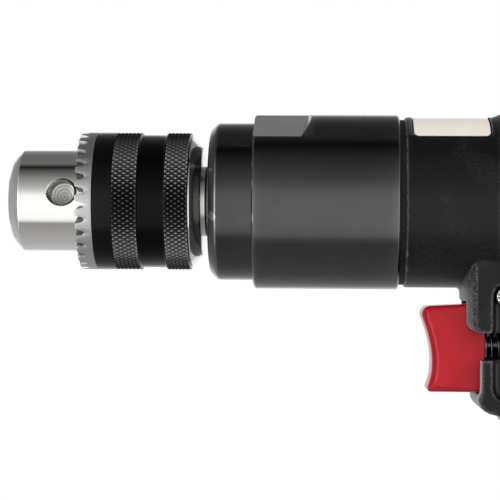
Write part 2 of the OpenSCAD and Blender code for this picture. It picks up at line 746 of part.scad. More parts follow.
module motor_cylinder() color("gray") difference() {
    bar(cylinder_r, front_plate_x1, rear_plate_x0);
    translate([0, 0, cylinder_offset]) bar(cylinder_bore / 2, front_plate_x1 - cut, rear_plate_x0 + cut);
    translate([0, 0, -dowel_z]) bar(dowel_d / 2, front_plate_x1 - cut, front_plate_x1 + 3 * dowel_d);
    for (i = [1:5]) translate([front_plate_x1 + cylinder_len * i / 6, 0, 0])
        cylinder(d = dowel_d * 1.5, h = cylinder_od);
}

module end_plate(x0, x1, bearing_x0, bearing_x1) difference() {
    bar(cylinder_r, x0, x1);
    bar(rotor_shaft_r + 2 * pass_gap, x0 - cut, x1 + cut);
    bar(rotor_bearing_od / 2, bearing_x0, bearing_x1);
    translate([0, 0, -dowel_z]) bar(dowel_d / 2, front_plate_x1 - 2 * dowel_d, front_plate_x1 + cut);
}
module front_end_plate() color("silver")
    end_plate(front_plate_x0, front_plate_x1, rotor_bearing_1[0] - cut, rotor_bearing_1[1]);
module rear_end_plate() color("silver")
    end_plate(rear_plate_x0, rear_plate_x1, rotor_bearing_2[0], rotor_bearing_2[1] + cut);

// The rotor's bearings sit in the outer faces of the end plates
rotor_bearing_1 = [front_plate_x0, front_plate_x0 + rotor_bearing_w];
rotor_bearing_2 = [rear_plate_x1 - rotor_bearing_w, rear_plate_x1];
module rotor_front_bearing_outer()
    bearing_outer(rotor_bearing_bore, rotor_bearing_od, rotor_bearing_1[0], rotor_bearing_1[1]);
module rotor_front_bearing_inner()
    bearing_inner(rotor_bearing_bore, rotor_bearing_od, rotor_bearing_1[0], rotor_bearing_1[1]);
module rotor_front_bearing_balls()
    bearing_balls(rotor_bearing_bore, rotor_bearing_od, rotor_bearing_1[0], rotor_bearing_1[1]);
module rotor_rear_bearing_outer()
    bearing_outer(rotor_bearing_bore, rotor_bearing_od, rotor_bearing_2[0], rotor_bearing_2[1]);
module rotor_rear_bearing_inner()
    bearing_inner(rotor_bearing_bore, rotor_bearing_od, rotor_bearing_2[0], rotor_bearing_2[1]);
module rotor_rear_bearing_balls()
    bearing_balls(rotor_bearing_bore, rotor_bearing_od, rotor_bearing_2[0], rotor_bearing_2[1]);

module cylinder_pin() color("silver") translate([0, 0, -dowel_z])
    bar(dowel_d / 2, front_plate_x1 - 2 * dowel_d, front_plate_x1 + 3 * dowel_d);

module rotor() color("gray") difference() {
    union() {
        drawn_x(carrier_x1 + 2 * pass_gap, shaft_x0 + cut) gear_outline(sun_teeth);
        bar(rotor_shaft_r, shaft_x0, rear_plate_x1);
        bar(rotor_d / 2, rotor_x0, rotor_x1);
    }
    for (i = [0:vane_count - 1]) rotate([360 * i / vane_count, 0, 0])
        translate([rotor_x0 - cut, -vane_t / 2 - run_fit, vane_tip_r - vane_h - run_fit])
            cube([rotor_x1 - rotor_x0 + 2 * cut, vane_t + 2 * run_fit, vane_h + cylinder_od]);
}

module rotor_vanes() color("saddlebrown") for (i = [0:vane_count - 1]) rotate([360 * i / vane_count, 0, 0])
    translate([rotor_x0, -vane_t / 2, vane_tip_r - vane_h]) cube([rotor_x1 - rotor_x0, vane_t, vane_h]);

// Motor housing

module barrel() turned(concat(
    [[0, spigot_x0], [spigot_r, spigot_x0], [spigot_r, barrel_x0]],
    rounded([barrel_r - barrel_round, barrel_x0], [barrel_r, barrel_x0 + barrel_round]),
    [[barrel_r, barrel_x0 + barrel_len], [rear_r, barrel_x0 + barrel_len + swell_len]],
    rounded_end([rear_r, rear_x1 - rear_round], [rear_face_d / 2, rear_x1]),
    [[0, rear_x1]]));

// The front of the handle from the side: neck, side walls and finger lip
module neck_side() polygon(concat(
    [[neck_back, 0], [handle_x - edge, 0]],
    curve([handle_x - edge, -slot_top], [handle_x, -stem_z + notch_h / 2],
        [wall_front, -stem_z + notch_h / 2]),
    [[wall_front, -lip_z], lip_at],
    curve(lip_at + lip_leave, lip_at + lip_round, lip_at + lip_under),
    [lip_at + lip_slope, [neck_back, -lip_z - lip_end]]));

// The front of the handle from above
module neck_plan() intersection() {
    translate([handle_x + handle_nose_r, 0]) circle(r = handle_nose_r, $fn = 128);
    translate([trigger_x0, -handle_r]) square([neck_back - trigger_x0, handle_w]);
}

module grip() in_grip() translate([0, 0, -grip_len]) linear_extrude(grip_len + grip_top)
    round_box([-grip_depth / 2, -grip_w / 2], [grip_depth / 2, grip_w / 2], grip_corner);

module name_plate_outline(margin) round_box(
    [barrel_x0 + name_plate_x - margin, -name_plate_w / 2 - margin],
    [barrel_x0 + name_plate_x + name_plate_len + margin, name_plate_w / 2 + margin], plate_corner + margin);
module name_plate_shell(margin, r_in, r_out) intersection() {
    linear_extrude(barrel_d) name_plate_outline(margin);
    ring(r_out, r_in, barrel_x0, barrel_x0 + barrel_len + swell_len);
}

module badge_outline(margin) translate([badge_x, badge_z]) intersection() {
    circle(r = badge_r + margin);
    square([2 * badge_r + 2 * margin, badge_h + 2 * margin], center = true);
}
module badge_shell(y0, y1, margin, r_in, r_out) intersection() {
    drawn_y(y0, y1) badge_outline(margin);
    ring(r_out, r_in, badge_x - badge_r - cut, badge_x + badge_r + cut);
}

module handle_passages() {
    translate([0, 0, -stem_z]) {
        bar(bush_d / 2, slot_x1 - cut, bush_x1);
        bar(chamber_d / 2, bush_x1, chamber_x1);
    }
    translate([reverse_x, 0, -stem_z]) cylinder(d = port_d, h = stem_z - motor_bore_r + 2 * cut);
    translate([reverse_x, handle_w, -reverse_z]) rotate([90, 0, 0])
        cylinder(r = reverse_r + run_fit, h = 2 * handle_w);
    in_grip() {
        translate([0, 0, -grip_len - cut]) cylinder(r = bush_r, h = inlet_body_len + plenum_h + cut);
        translate([supply_x, 0, -grip_len + inlet_body_len])
            cylinder(r = supply_r, h = grip_z - stem_z + grip_len);
        for (side = [-1, 1]) translate([exhaust_x, side * exhaust_y, -grip_len - cut])
            cylinder(r = exhaust_r, h = grip_len + grip_z - motor_bore_r + exhaust_rise);
    }
}

module motor_housing() color([0.12, 0.12, 0.12]) difference() {
    union() {
        barrel();
        intersection() {
            drawn_y(-handle_r, handle_r) neck_side();
            translate([0, 0, -2 * lip_z]) linear_extrude(2 * lip_z) neck_plan();
        }
        grip();
    }
    bar(motor_bore_r, spigot_x0 - cut, rear_plate_x1);
    bar(rear_chamber_r, rear_plate_x1 - cut, rear_plate_x1 + rear_chamber_len);
    translate([trigger_x0, -slot_w / 2, -slot_bottom])
        cube([slot_x1 - trigger_x0, slot_w, slot_bottom - slot_top]);
    translate([trigger_x0, -handle_w, -stem_z - notch_h / 2])
        cube([recess_x0 + recess_corner - trigger_x0, handle_w, notch_h]);
    for (side = [0, 1]) mirror([0, side, 0]) {
        drawn_y(recess_y, handle_w)
            round_box([recess_x0, -recess_bottom], [recess_x1, -recess_top], recess_corner);
        badge_shell(0, rear_d, pass_gap, rear_r - badge_depth, rear_d);
    }
    name_plate_shell(pass_gap, barrel_r - name_plate_t - edge / 2, barrel_d);
    handle_passages();
}

module name_plate() color([0.85, 0.82, 0.76])
    name_plate_shell(0, barrel_r - name_plate_t - edge / 2, barrel_r - edge / 2);
module badge_plate_left() color([0.15, 0.15, 0.15])
    badge_shell(-rear_d, 0, 0, rear_r - badge_depth, rear_r - badge_depth + badge_t);
module badge_plate_right() color([0.15, 0.15, 0.15])
    badge_shell(0, rear_d, 0, rear_r - badge_depth, rear_r - badge_depth + badge_t);

// Trigger and throttle

module trigger() color([0.7, 0.08, 0.1]) difference() {
    drawn_y(-trigger_w / 2, trigger_w / 2) polygon(concat(
        [[trigger_x1, -trigger_top]],
        curve(trigger_at + [trigger_round, 0], trigger_at, trigger_at - [0, trigger_round]),
        curve(trigger_at + trigger_top_lip, trigger_at + trigger_hollow, trigger_at + trigger_low_lip),
        [trigger_at + [trigger_round, -trigger_h], [trigger_x1, -trigger_top - trigger_h]]));
    translate([0, 0, -stem_z]) bar(stem_r, trigger_x1 - stem_grip, trigger_x1 + cut);
}

module trigger_stem() color("silver") translate([0, 0, -stem_z]) bar(stem_r, trigger_x1 - stem_grip, stem_x1);

// The trigger spring: one wire that leaves the trigger square, winds and meets the bush square
spring_r = (spring_od - spring_wire) / 2;
spring_x0 = trigger_x1 + run_fit;
spring_x1 = slot_x1 - run_fit;
spring_pitch = (spring_x1 - spring_x0 - 2 * spring_wire) / spring_turns;
rings_per_turn = 8;
wire_sides = 6;
spring_line = concat(
    [[spring_x0, 0]],
    [for (i = [0:spring_turns * rings_per_turn])
        [spring_x0 + spring_wire + spring_pitch * i / rings_per_turn, 360 * i / rings_per_turn]],
    [[spring_x1, 360 * spring_turns]]);
function spring_point(i) = let (s = spring_line[i]) [s[0], spring_r * cos(s[1]), spring_r * sin(s[1])];
function unit(v) = v / norm(v);
function spring_ring(i) =
    let (last = len(spring_line) - 1,
         along = unit(i == 0 || i == last ? [1, 0, 0] : spring_point(i + 1) - spring_point(i - 1)),
         outward = [0, cos(spring_line[i][1]), sin(spring_line[i][1])],
         u = unit(outward - (outward * along) * along),
         v = cross(along, u))
    [for (k = [0:wire_sides - 1]) let (a = 360 * k / wire_sides)
        spring_point(i) + spring_wire / 2 * (cos(a) * u + sin(a) * v)];
spring_gap = min([for (i = [0:len(spring_line) - 1], j = [0:len(spring_line) - 1])
    if (j - i > rings_per_turn / 2) norm(spring_point(i) - spring_point(j))]) - spring_wire;

module trigger_spring() color([0.1, 0.1, 0.1]) translate([0, 0, -stem_z]) {
    rings = len(spring_line);
    echo(trigger_spring_least_gap = spring_gap);
    polyhedron(
        points = [for (i = [0:rings - 1]) each spring_ring(i)],
        faces = concat(
            [for (k = [1:wire_sides - 2]) [0, k, k + 1]],
            [for (i = [0:rings - 2], k = [0:wire_sides - 1], half = [0, 1])
                let (a = i * wire_sides + k, b = i * wire_sides + (k + 1) % wire_sides)
                half == 0 ? [a, a + wire_sides, b] : [b, a + wire_sides, b + wire_sides]],
            [for (k = [1:wire_sides - 2]) [0, k + 1, k] + (rings - 1) * wire_sides * [1, 1, 1]]));
}

module trigger_bush() color("goldenrod") translate([0, 0, -stem_z]) difference() {
    ring(bush_d / 2, stem_r + run_fit, slot_x1, bush_x1);
    ring(stem_r + oring_t + 2 * run_fit, stem_r, bush_x1 - 3 * oring_t, bush_x1 - 2 * oring_t + run_fit);
}

// A rubber ring about an axis along X
module oring(r_in, t, x) translate([x, 0, 0]) rotate([0, 90, 0]) rotate_extrude()
    translate([r_in + t / 2, 0]) circle(d = t, $fn = 24);
module stem_oring() color([0.05, 0.05, 0.05]) translate([0, 0, -stem_z])
    oring(stem_r + run_fit, oring_t - run_fit, bush_x1 - 2.5 * oring_t + run_fit / 2);

module valve_seat() color("goldenrod") translate([0, 0, -stem_z])
    ring(chamber_d / 2, stem_r + 3 * pass_gap, seat_x0, seat_x1);

module throttle_valve() color([0.2, 0.2, 0.2]) translate([0, 0, -stem_z]) {
    bar(valve_d / 2, valve_x0, valve_x1);
    bar(valve_d / 4, valve_x1 - cut, valve_x1 + valve_tail);
}

// Plain tube in place of the hidden return spring
module throttle_spring() color("silver") translate([0, 0, -stem_z])
    ring(valve_d / 2 - edge, valve_d / 4 + edge, valve_x1 + run_fit, chamber_x1);

// Reversing valve and lever

module at_reverse() translate([reverse_x, 0, -reverse_z]) children();
module bar_y(r, y0, y1) translate([0, y1, 0]) rotate([90, 0, 0]) cylinder(r = r, h = y1 - y0);

module reverse_valve() color("silver") at_reverse() difference() {
    union() {
        bar_y(reverse_r, -recess_y, recess_y);
        bar_y(lever_pin_r, -lever_y - lever_t, recess_y + 4 * edge + pass_gap);
    }
    for (side = [-1, 1]) translate([0, side * recess_y / 2, 0]) rotate([90, 0, 0]) rotate_extrude()
        translate([reverse_r - reverse_oring_t, -reverse_oring_t / 2 - run_fit])
            square([2 * reverse_oring_t, reverse_oring_t + 2 * run_fit]);
    translate([0, 0, -reverse_d]) cylinder(d = port_d, h = 2 * reverse_d);
    bar_y(lever_pin_r / 2, -handle_w, -lever_y);
}

module reverse_orings() color([0.05, 0.05, 0.05]) at_reverse() for (side = [-1, 1])
    translate([0, side * recess_y / 2, 0]) rotate([90, 0, 0]) rotate_extrude()
        translate([reverse_r - reverse_oring_t / 2, 0]) circle(d = reverse_oring_t, $fn = 24);

module reverse_lever() color("silver") at_reverse() difference() {
    union() {
        bar_y(lever_hub_r, -lever_y - lever_t, -lever_y);
        drawn_y(-lever_y - lever_t, -lever_y) polygon([
            [0, lever_hub_r - edge], [0, edge - lever_hub_r],
            [lever_tip_x, lever_rise - lever_tip_w / 2], [lever_tip_x, lever_rise + lever_tip_w / 2]]);
        translate([lever_tip_x, 0, lever_rise]) bar_y(lever_tip_w / 2, -lever_y - lever_t, -lever_y);
    }
    bar_y(lever_pin_r, -handle_w, handle_w);
}

module lever_screw() color("gray") at_reverse() {
    bar_y(lever_pin_r + 2 * edge, -lever_y - lever_t - 3 * edge, -lever_y - lever_t);
    bar_y(lever_pin_r / 2, -lever_y - lever_t - edge, -lever_y);
}

module reverse_clip() color("dimgray") at_reverse() difference() {
    bar_y(reverse_r + 2 * edge, recess_y + run_fit, recess_y + run_fit + 2 * edge);
    bar_y(lever_pin_r, -handle_w, handle_w);
}

// Air inlet and exhaust, in the grip's frame

module inlet_bush() color("silver") in_grip() difference() {
    union() {
        translate([0, 0, -grip_len]) cylinder(r = bush_r, h = inlet_body_len);
        translate([0, 0, hex_z]) cylinder(r = neck_r, h = -hex_z - grip_len + cut);
        translate([0, 0, hex_z - inlet_hex_h]) cylinder(r = inlet_hex / sqrt(3), h = inlet_hex_h, $fn = 6);
    }
    translate([0, 0, hex_z - inlet_hex_h - cut]) cylinder(d = inlet_d, h = inlet_thread_len + cut);
    translate([0, 0, hex_z - inlet_hex_h])
        cylinder(r = strainer_r, h = inlet_thread_len + strainer_gap + strainer_t);
    translate([0, 0, hex_z - inlet_hex_h]) cylinder(r = inlet_d / 2 - bush_ledge, h = 2 * grip_len);
}

module inlet_strainer() color("silver") in_grip()
    translate([0, 0, hex_z - inlet_hex_h + inlet_thread_len + strainer_gap]) difference() {
        cylinder(r = strainer_r, h = strainer_t);
        for (i = [0:5]) rotate(60 * i) translate([strainer_orbit, 0, -cut])
            cylinder(d = strainer_hole_d, h = strainer_t + 2 * cut);
        translate([0, 0, -cut]) cylinder(d = strainer_hole_d, h = strainer_t + 2 * cut);
    }

module exhaust_deflector() color([0.1, 0.1, 0.1]) in_grip() difference() {
    translate([0, 0, deflector_z]) cylinder(d = deflector_d, h = deflector_h);
    translate([0, 0, deflector_z + deflector_wall])
        cylinder(d = deflector_d - 2 * deflector_wall, h = deflector_h);
    translate([0, 0, -2 * grip_len]) cylinder(r = neck_r + run_fit, h = 2 * grip_len);
    for (i = [-3:3]) rotate(exhaust_slot_step * i)
        translate([neck_r, -deflector_wall / 2, deflector_z + 2 * deflector_wall])
            cube([deflector_d, deflector_wall, deflector_h - 3 * deflector_wall]);
}

module muffler_felt() color("tan") in_grip() translate([0, 0, deflector_z + deflector_wall])
    difference() {
        cylinder(r = deflector_d / 2 - deflector_wall, h = deflector_h / 2);
        translate([0, 0, -cut]) cylinder(r = neck_r + pass_gap, h = deflector_h);
    }

chuck_body();
chuck_jaw(0);  // chuck_jaw_1
chuck_jaw(1);  // chuck_jaw_2
chuck_jaw(2);  // chuck_jaw_3
chuck_nut();
chuck_sleeve();
chuck_screw();
gear_housing();
spindle();
spindle_seal();
front_bearing_outer();
front_bearing_inner();
front_bearing_balls();
planet_gear(0);  // planet_gear_1
planet_gear(1);  // planet_gear_2
planet_gear(2);  // planet_gear_3
planet_pins();
carrier_plate();
ring_gear();
gear_spacer();
housing_seal();
motor_cylinder();
rotor();
rotor_vanes();
front_end_plate();
rear_end_plate();
rotor_front_bearing_outer();
rotor_front_bearing_inner();
rotor_front_bearing_balls();
rotor_rear_bearing_outer();
rotor_rear_bearing_inner();
rotor_rear_bearing_balls();
cylinder_pin();
motor_housing();
name_plate();
badge_plate_left();
badge_plate_right();
trigger();
trigger_stem();
trigger_spring();
trigger_bush();
stem_oring();
valve_seat();
throttle_valve();
throttle_spring();
reverse_valve();
reverse_lever();
lever_screw();
reverse_orings();
reverse_clip();
inlet_bush();
inlet_strainer();
exhaust_deflector();
muffler_felt();
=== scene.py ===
# %% [markdown]
# # An air drill, dressed in Blender
#
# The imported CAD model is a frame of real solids: chuck, gear housing, motor housing, trigger and valves.
# This lesson loads that frame, puts a camera where the photographer stood, and dresses every surface.
# Where a CAD solid is too plain to show, a finer piece takes its place and rides on the same body.

# %% Load the frame
import json
import math

import bmesh
import bpy
from mathutils import Matrix, Vector


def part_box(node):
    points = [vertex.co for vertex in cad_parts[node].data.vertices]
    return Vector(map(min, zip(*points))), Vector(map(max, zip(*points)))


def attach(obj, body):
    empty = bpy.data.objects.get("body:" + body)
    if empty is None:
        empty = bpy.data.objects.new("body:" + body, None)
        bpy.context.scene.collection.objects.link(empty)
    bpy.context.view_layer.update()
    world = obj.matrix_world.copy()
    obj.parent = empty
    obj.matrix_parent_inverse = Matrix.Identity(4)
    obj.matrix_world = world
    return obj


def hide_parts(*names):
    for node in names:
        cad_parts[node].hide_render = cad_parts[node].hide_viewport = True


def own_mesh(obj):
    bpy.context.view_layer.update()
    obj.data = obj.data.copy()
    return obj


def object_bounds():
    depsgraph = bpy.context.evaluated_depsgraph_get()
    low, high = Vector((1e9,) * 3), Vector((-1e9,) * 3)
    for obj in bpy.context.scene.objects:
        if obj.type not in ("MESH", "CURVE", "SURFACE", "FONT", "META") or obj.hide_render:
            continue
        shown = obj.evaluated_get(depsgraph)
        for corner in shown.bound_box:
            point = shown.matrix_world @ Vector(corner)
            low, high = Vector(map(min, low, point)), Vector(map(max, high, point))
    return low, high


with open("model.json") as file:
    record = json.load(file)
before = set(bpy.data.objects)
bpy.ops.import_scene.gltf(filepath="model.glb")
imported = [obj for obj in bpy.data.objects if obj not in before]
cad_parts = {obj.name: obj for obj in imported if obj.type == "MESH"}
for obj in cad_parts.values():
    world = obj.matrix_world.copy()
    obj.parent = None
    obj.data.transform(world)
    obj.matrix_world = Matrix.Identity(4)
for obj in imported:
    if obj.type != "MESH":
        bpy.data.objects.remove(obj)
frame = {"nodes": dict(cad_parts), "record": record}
cad_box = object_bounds()
nodes = frame["nodes"]
MM = 0.001


def size_of(node, axis):
    """Lowest and highest place of a CAD node along an axis, in millimetres."""
    low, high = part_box(node)
    return low[axis] / MM, high[axis] / MM


def put(name, data):
    """A new object in the scene."""
    made = bpy.data.objects.new(name, data)
    bpy.context.scene.collection.objects.link(made)
    return made


def moved(place, angle=0.0, axis="X"):
    """The move that turns a piece about an axis and sets it at a place in millimetres."""
    return Matrix.Translation(Vector(place) * MM) @ Matrix.Rotation(angle, 4, axis)


# %% [markdown]
# ## Camera
#
# The photograph is a close, square crop: the chuck points left and the grip runs out of the frame.
# A lens at 450 mm gives the slight widening of the near surfaces. It is turned a few degrees towards the
# middle of the crop, and a roll of less than half a degree matches how the drill hangs in the picture.

# %% Place the camera
IMAGE_PX = 500
FOCAL_PX = 1815
CAMERA_AT = Vector((80.0, -450.0, -19.5)) * MM
YAW, PITCH, ROLL = math.radians(2.68), math.radians(0.955), math.radians(0.4)
SENSOR_WIDTH = 36.0
NEAREST_SEEN = 0.01

camera_data = bpy.data.cameras.new("camera")
camera = put("camera", camera_data)
camera_data.sensor_width = SENSOR_WIDTH
camera_data.lens = camera_data.sensor_width * FOCAL_PX / IMAGE_PX
camera_data.clip_start = NEAREST_SEEN
look = Matrix.Rotation(YAW, 4, "Z") @ Matrix.Rotation(math.pi / 2 + PITCH, 4, "X")
look = look @ Matrix.Rotation(ROLL, 4, "Z")
camera.matrix_world = Matrix.Translation(CAMERA_AT) @ look
bpy.context.scene.camera = camera
bpy.context.scene.view_settings.view_transform = "Standard"
print("lens mm:", round(camera_data.lens, 1))

# %% [markdown]
# ## Shader maths as Python
#
# A finish is a small sum: noise, masks and colours. Wiring nodes by hand hides that sum, so one class wraps
# a socket and turns Python's operators into Math nodes. Everything else comes from one function that makes
# any node.


# %% A socket that understands arithmetic
class Wire:
    """A socket of a node tree that can be used in arithmetic."""

    def __init__(self, tree, socket):
        self.tree = tree
        self.socket = socket

    def out(self, name):
        """Another output of the same node, by its name."""
        return Wire(self.tree, self.socket.node.outputs[name])

    def math(self, operation, *others):
        return add_node(self.tree, "ShaderNodeMath", {"operation": operation}, self, *others)

    def __add__(self, other):
        return self.math("ADD", other)

    __radd__ = __add__

    def __sub__(self, other):
        return self.math("SUBTRACT", other)

    def __rsub__(self, other):
        return -self + other

    def __neg__(self):
        return self.math("MULTIPLY", -1.0)

    def __mul__(self, other):
        return self.math("MULTIPLY", other)

    __rmul__ = __mul__

    def __truediv__(self, other):
        return self.math("DIVIDE", other)

    def __gt__(self, other):
        return self.math("GREATER_THAN", other)

    def __lt__(self, other):
        return self.math("LESS_THAN", other)

    def abs(self):
        return self.math("ABSOLUTE")

    def clamp(self):
        held = self.math("ADD", 0.0)
        held.socket.node.use_clamp = True
        return held

    def ramp(self, *stops):
        """Grey stops over the values 0 to 1."""
        made = add_node(self.tree, "ShaderNodeValToRGB", (), self)
        elements = made.socket.node.color_ramp.elements
        while len(elements) < len(stops):
            elements.new(0.5)
        for element, (place, shade) in zip(elements, stops):
            element.position = place
            element.color = (shade, shade, shade, 1.0)
        return made

    def mix(self, low, high):
        """The colour low where this value is 0, high where it is 1, by the node's colour sockets."""
        made = self.tree.nodes.new("ShaderNodeMix")
        made.data_type = "RGBA"
        feed(self.tree, made.inputs["Factor"], self)
        feed(self.tree, made.inputs[6], low)
        feed(self.tree, made.inputs[7], high)
        return Wire(self.tree, made.outputs[2])


def feed(tree, socket, value):
    """Links a wire to a socket, or sets the socket's own value."""
    if isinstance(value, Wire):
        tree.links.new(value.socket, socket)
    elif isinstance(value, tuple) and socket.type == "RGBA":
        socket.default_value = (*value, 1.0)
    else:
        socket.default_value = value


def add_node(tree, kind, settings=(), *values, **inputs):
    """Any node: settings first, then sockets in order or by name. Returns the node's first output."""
    made = tree.nodes.new(kind)
    for name, value in dict(settings).items():
        setattr(made, name, value)
    for socket, value in zip(made.inputs, values):
        feed(tree, socket, value)
    for name, value in inputs.items():
        feed(tree, made.inputs[name.replace("_", " ")], value)
    return Wire(tree, made.outputs[0]) if made.outputs else made


print("wires and nodes are ready")

# %% [markdown]
# ## Studio
#
# Polished steel shows the room more than itself, so the room matters most. In the photograph the nose has a
# white band where it faces the lens, a grey ceiling with one dark gap above, and a pale table below.
# The sky is that room, written as a ramp over the angle round the drill's long axis. The lens itself sees
# plain white, and so do mirrored rays that go past the drill, as they would against a paper backdrop.

# %% Sky
ROOM = (
    (-180, 0.40), (-165, 0.55), (-146, 0.64), (-110, 0.52), (-75, 0.42), (-54, 0.36), (-49, 1.05),
    (-42, 1.30), (-24, 1.35), (-6, 1.35), (9, 1.25), (18, 0.86), (28, 0.55), (47, 0.33), (57, 0.21),
    (67, 0.12), (73, 0.07), (78, 0.012), (81, 0.012), (85, 0.08), (91, 0.19), (105, 0.155), (125, 0.18),
    (146, 0.30), (165, 0.45), (180, 0.40),
)
END_LIGHT, END_NARROW = 0.42, 4.0
SIDE_STRIP, STRIP_FRONT = 3.0, -0.1
STRIP_STOPS = ((0.52, 0.0), (0.56, 1.0), (0.80, 1.0), (0.84, 0.0))
BACKDROP_FROM, BACKDROP_WIDE = 0.93, 0.25


def turn_share(degrees):
    """An angle from -180 to 180 degrees as a share from 0 to 1."""
    return (degrees + 180.0) / 360.0


world = bpy.data.worlds.new("studio")
bpy.context.scene.world = world
world.use_nodes = True
sky = world.node_tree
sky.nodes.clear()
towards = add_node(sky, "ShaderNodeTexCoord").out("Generated")
parts = add_node(sky, "ShaderNodeSeparateXYZ", Vector=towards)
along, back, up = (parts.out(name) for name in "XYZ")
turn = up.math("ARCTAN2", -back) / (2.0 * math.pi) + 0.5
brightest = max(level for _, level in ROOM)
room = turn.ramp(*[(turn_share(angle), level / brightest) for angle, level in ROOM])
endwise = along.abs().math("POWER", END_NARROW)
lit = endwise.mix(room, (END_LIGHT / brightest,) * 3)
strips = along.abs().ramp(*STRIP_STOPS) * (back < STRIP_FRONT) * SIDE_STRIP + 1.0
rays = add_node(sky, "ShaderNodeLightPath")
past_drill = rays.out("Is Glossy Ray") * (back + along.abs() * BACKDROP_WIDE > BACKDROP_FROM)
seen = (rays.out("Is Camera Ray") + rays.out("Is Transmission Ray") + past_drill).clamp()
room_light = add_node(sky, "ShaderNodeBackground", Color=lit * strips, Strength=brightest)
paper_light = add_node(sky, "ShaderNodeBackground", Color=(1.0, 1.0, 1.0), Strength=1.0)
both = add_node(sky, "ShaderNodeMixShader", (), seen, room_light, paper_light)
add_node(sky, "ShaderNodeOutputWorld", Surface=both)
print("room stops:", len(ROOM))

# %% [markdown]
# The drill stands on a pale floor below the grip. A plain diffuse floor would grey off into the distance,
# so the lens sees it mixed with white, wholly so in the distance, and the soft shadow under the grip stays.
# Mirrored rays pass it by: the table's tone is already part of the room.

# %% Floor
FLOOR_REACH = 6.0
FLOOR_GAP = 0.5 * MM
FLOOR_WHITE = 0.62
FADE_FROM, FADE_TO = 0.20, 0.55
floor_z = cad_box[0][2] - FLOOR_GAP
floor_mesh = bpy.data.meshes.new("floor")
corners = ((-1, -1), (1, -1), (1, 1), (-1, 1))
floor_mesh.from_pydata([(x * FLOOR_REACH, y * FLOOR_REACH, floor_z) for x, y in corners], [], [(0, 1, 2, 3)])
floor = put("floor", floor_mesh)
paper = bpy.data.materials.new("paper_floor")
paper.use_nodes = True
tree = paper.node_tree
tree.nodes.clear()
grain = add_node(tree, "ShaderNodeTexNoise", Scale=60.0)
tone = grain.mix((0.80, 0.80, 0.80), (0.84, 0.84, 0.83))
matt = add_node(tree, "ShaderNodeBsdfDiffuse", Color=tone)
glow = add_node(tree, "ShaderNodeEmission", Color=(1.0, 1.0, 1.0), Strength=1.0)
spot = add_node(tree, "ShaderNodeTexCoord").out("Object")
away = add_node(tree, "ShaderNodeVectorMath", {"operation": "LENGTH"}, spot).out("Value")
fade = ((away - FADE_FROM) / (FADE_TO - FADE_FROM)).clamp()
camera_ray = add_node(tree, "ShaderNodeLightPath").out("Is Camera Ray")
white = camera_ray * (fade * (1.0 - FLOOR_WHITE) + FLOOR_WHITE)
mixed = add_node(tree, "ShaderNodeMixShader", (), white, matt, glow)
add_node(tree, "ShaderNodeOutputMaterial", Surface=mixed)
floor_mesh.materials.append(paper)
floor.visible_glossy = False
print("floor at mm:", round(floor_z / MM, 1))

# %% [markdown]
# Two soft boxes carry the plain light: a large one above the lens that brings up the pale plate on the
# barrel, and a weaker one behind that keeps the dark grip off the ground. They stay out of mirrored rays, so
# the bands on the steel come from the room alone.

# %% Soft boxes
SOFT_BOXES = (
    ("front_box", (0.10, -0.75, 0.85), 0.9, 7.0),
    ("rear_box", (0.30, 0.80, 0.55), 0.8, 4.0),
)
AIM = Vector((0.09, 0.0, -0.03))
for name, place, width, power in SOFT_BOXES:
    lamp_data = bpy.data.lights.new(name, "AREA")
    lamp_data.size = width
    lamp_data.energy = power
    lamp = put(name, lamp_data)
    lamp.location = place
    lamp.rotation_euler = (AIM - Vector(place)).to_track_quat("-Z", "Y").to_euler()
    lamp.visible_glossy = False
    lamp.visible_camera = False
print("soft boxes:", len(SOFT_BOXES))

# %% [markdown]
# ## Finishes
#
# Each finish is a small function of place: turned steel has fine rings, powder coat has grain, rubber is
# mottled. Places are object coordinates in metres, and a factor turns them into millimetres, so that every
# scale below reads as so many features to the millimetre.


# %% Start a finish
class Finish:
    """A material with a Principled shader, and the wires that its pattern starts from."""

    def __init__(self, name):
        finishes[name] = self
        self.material = bpy.data.materials.new(name)
        self.material.use_nodes = True
        self.tree = self.material.node_tree
        self.tree.nodes.clear()
        self.shader = self.tree.nodes.new("ShaderNodeBsdfPrincipled")
        add_node(self.tree, "ShaderNodeOutputMaterial", Surface=Wire(self.tree, self.shader.outputs[0]))
        at = add_node(self.tree, "ShaderNodeTexCoord").out("Object")
        self.place = self.scaled(at, (1 / MM,) * 3)
        split = add_node(self.tree, "ShaderNodeSeparateXYZ", Vector=self.place)
        self.x, self.y, self.z = (split.out(name) for name in "XYZ")

    def scaled(self, vector, factors):
        """A vector with each part multiplied, to stretch a pattern."""
        return add_node(self.tree, "ShaderNodeVectorMath", {"operation": "MULTIPLY"}, vector, factors)

    def radius(self):
        """The distance from the drill's long axis."""
        return (self.y * self.y + self.z * self.z).math("SQRT")

    def noise(self, scale, detail=2.0, stretch=None):
        at = self.scaled(self.place, stretch) if stretch else self.place
        return add_node(self.tree, "ShaderNodeTexNoise", Vector=at, Scale=scale, Detail=detail, Roughness=0.5)

    def cells(self, scale):
        return add_node(self.tree, "ShaderNodeTexVoronoi", Vector=self.place, Scale=scale)

    def edges(self, start=0.50):
        """1 on outward edges and 0 elsewhere, from the mesh's own pointiness."""
        shape = add_node(self.tree, "ShaderNodeNewGeometry").out("Pointiness")
        return shape.ramp((start, 0.0), (SHARPEST, 1.0))

    def faces(self, axis):
        """How much a place faces along X, Y or Z, from -1 to 1."""
        facing = add_node(self.tree, "ShaderNodeNewGeometry").out("Normal")
        return add_node(self.tree, "ShaderNodeSeparateXYZ", Vector=facing).out(axis)

    def set(self, **inputs):
        for name, value in inputs.items():
            feed(self.tree, self.shader.inputs[name.replace("_", " ")], value)

    def bump(self, height, distance_mm):
        raised = add_node(
            self.tree, "ShaderNodeBump", Height=height, Distance=distance_mm * MM, Strength=1.0)
        self.set(Normal=raised)


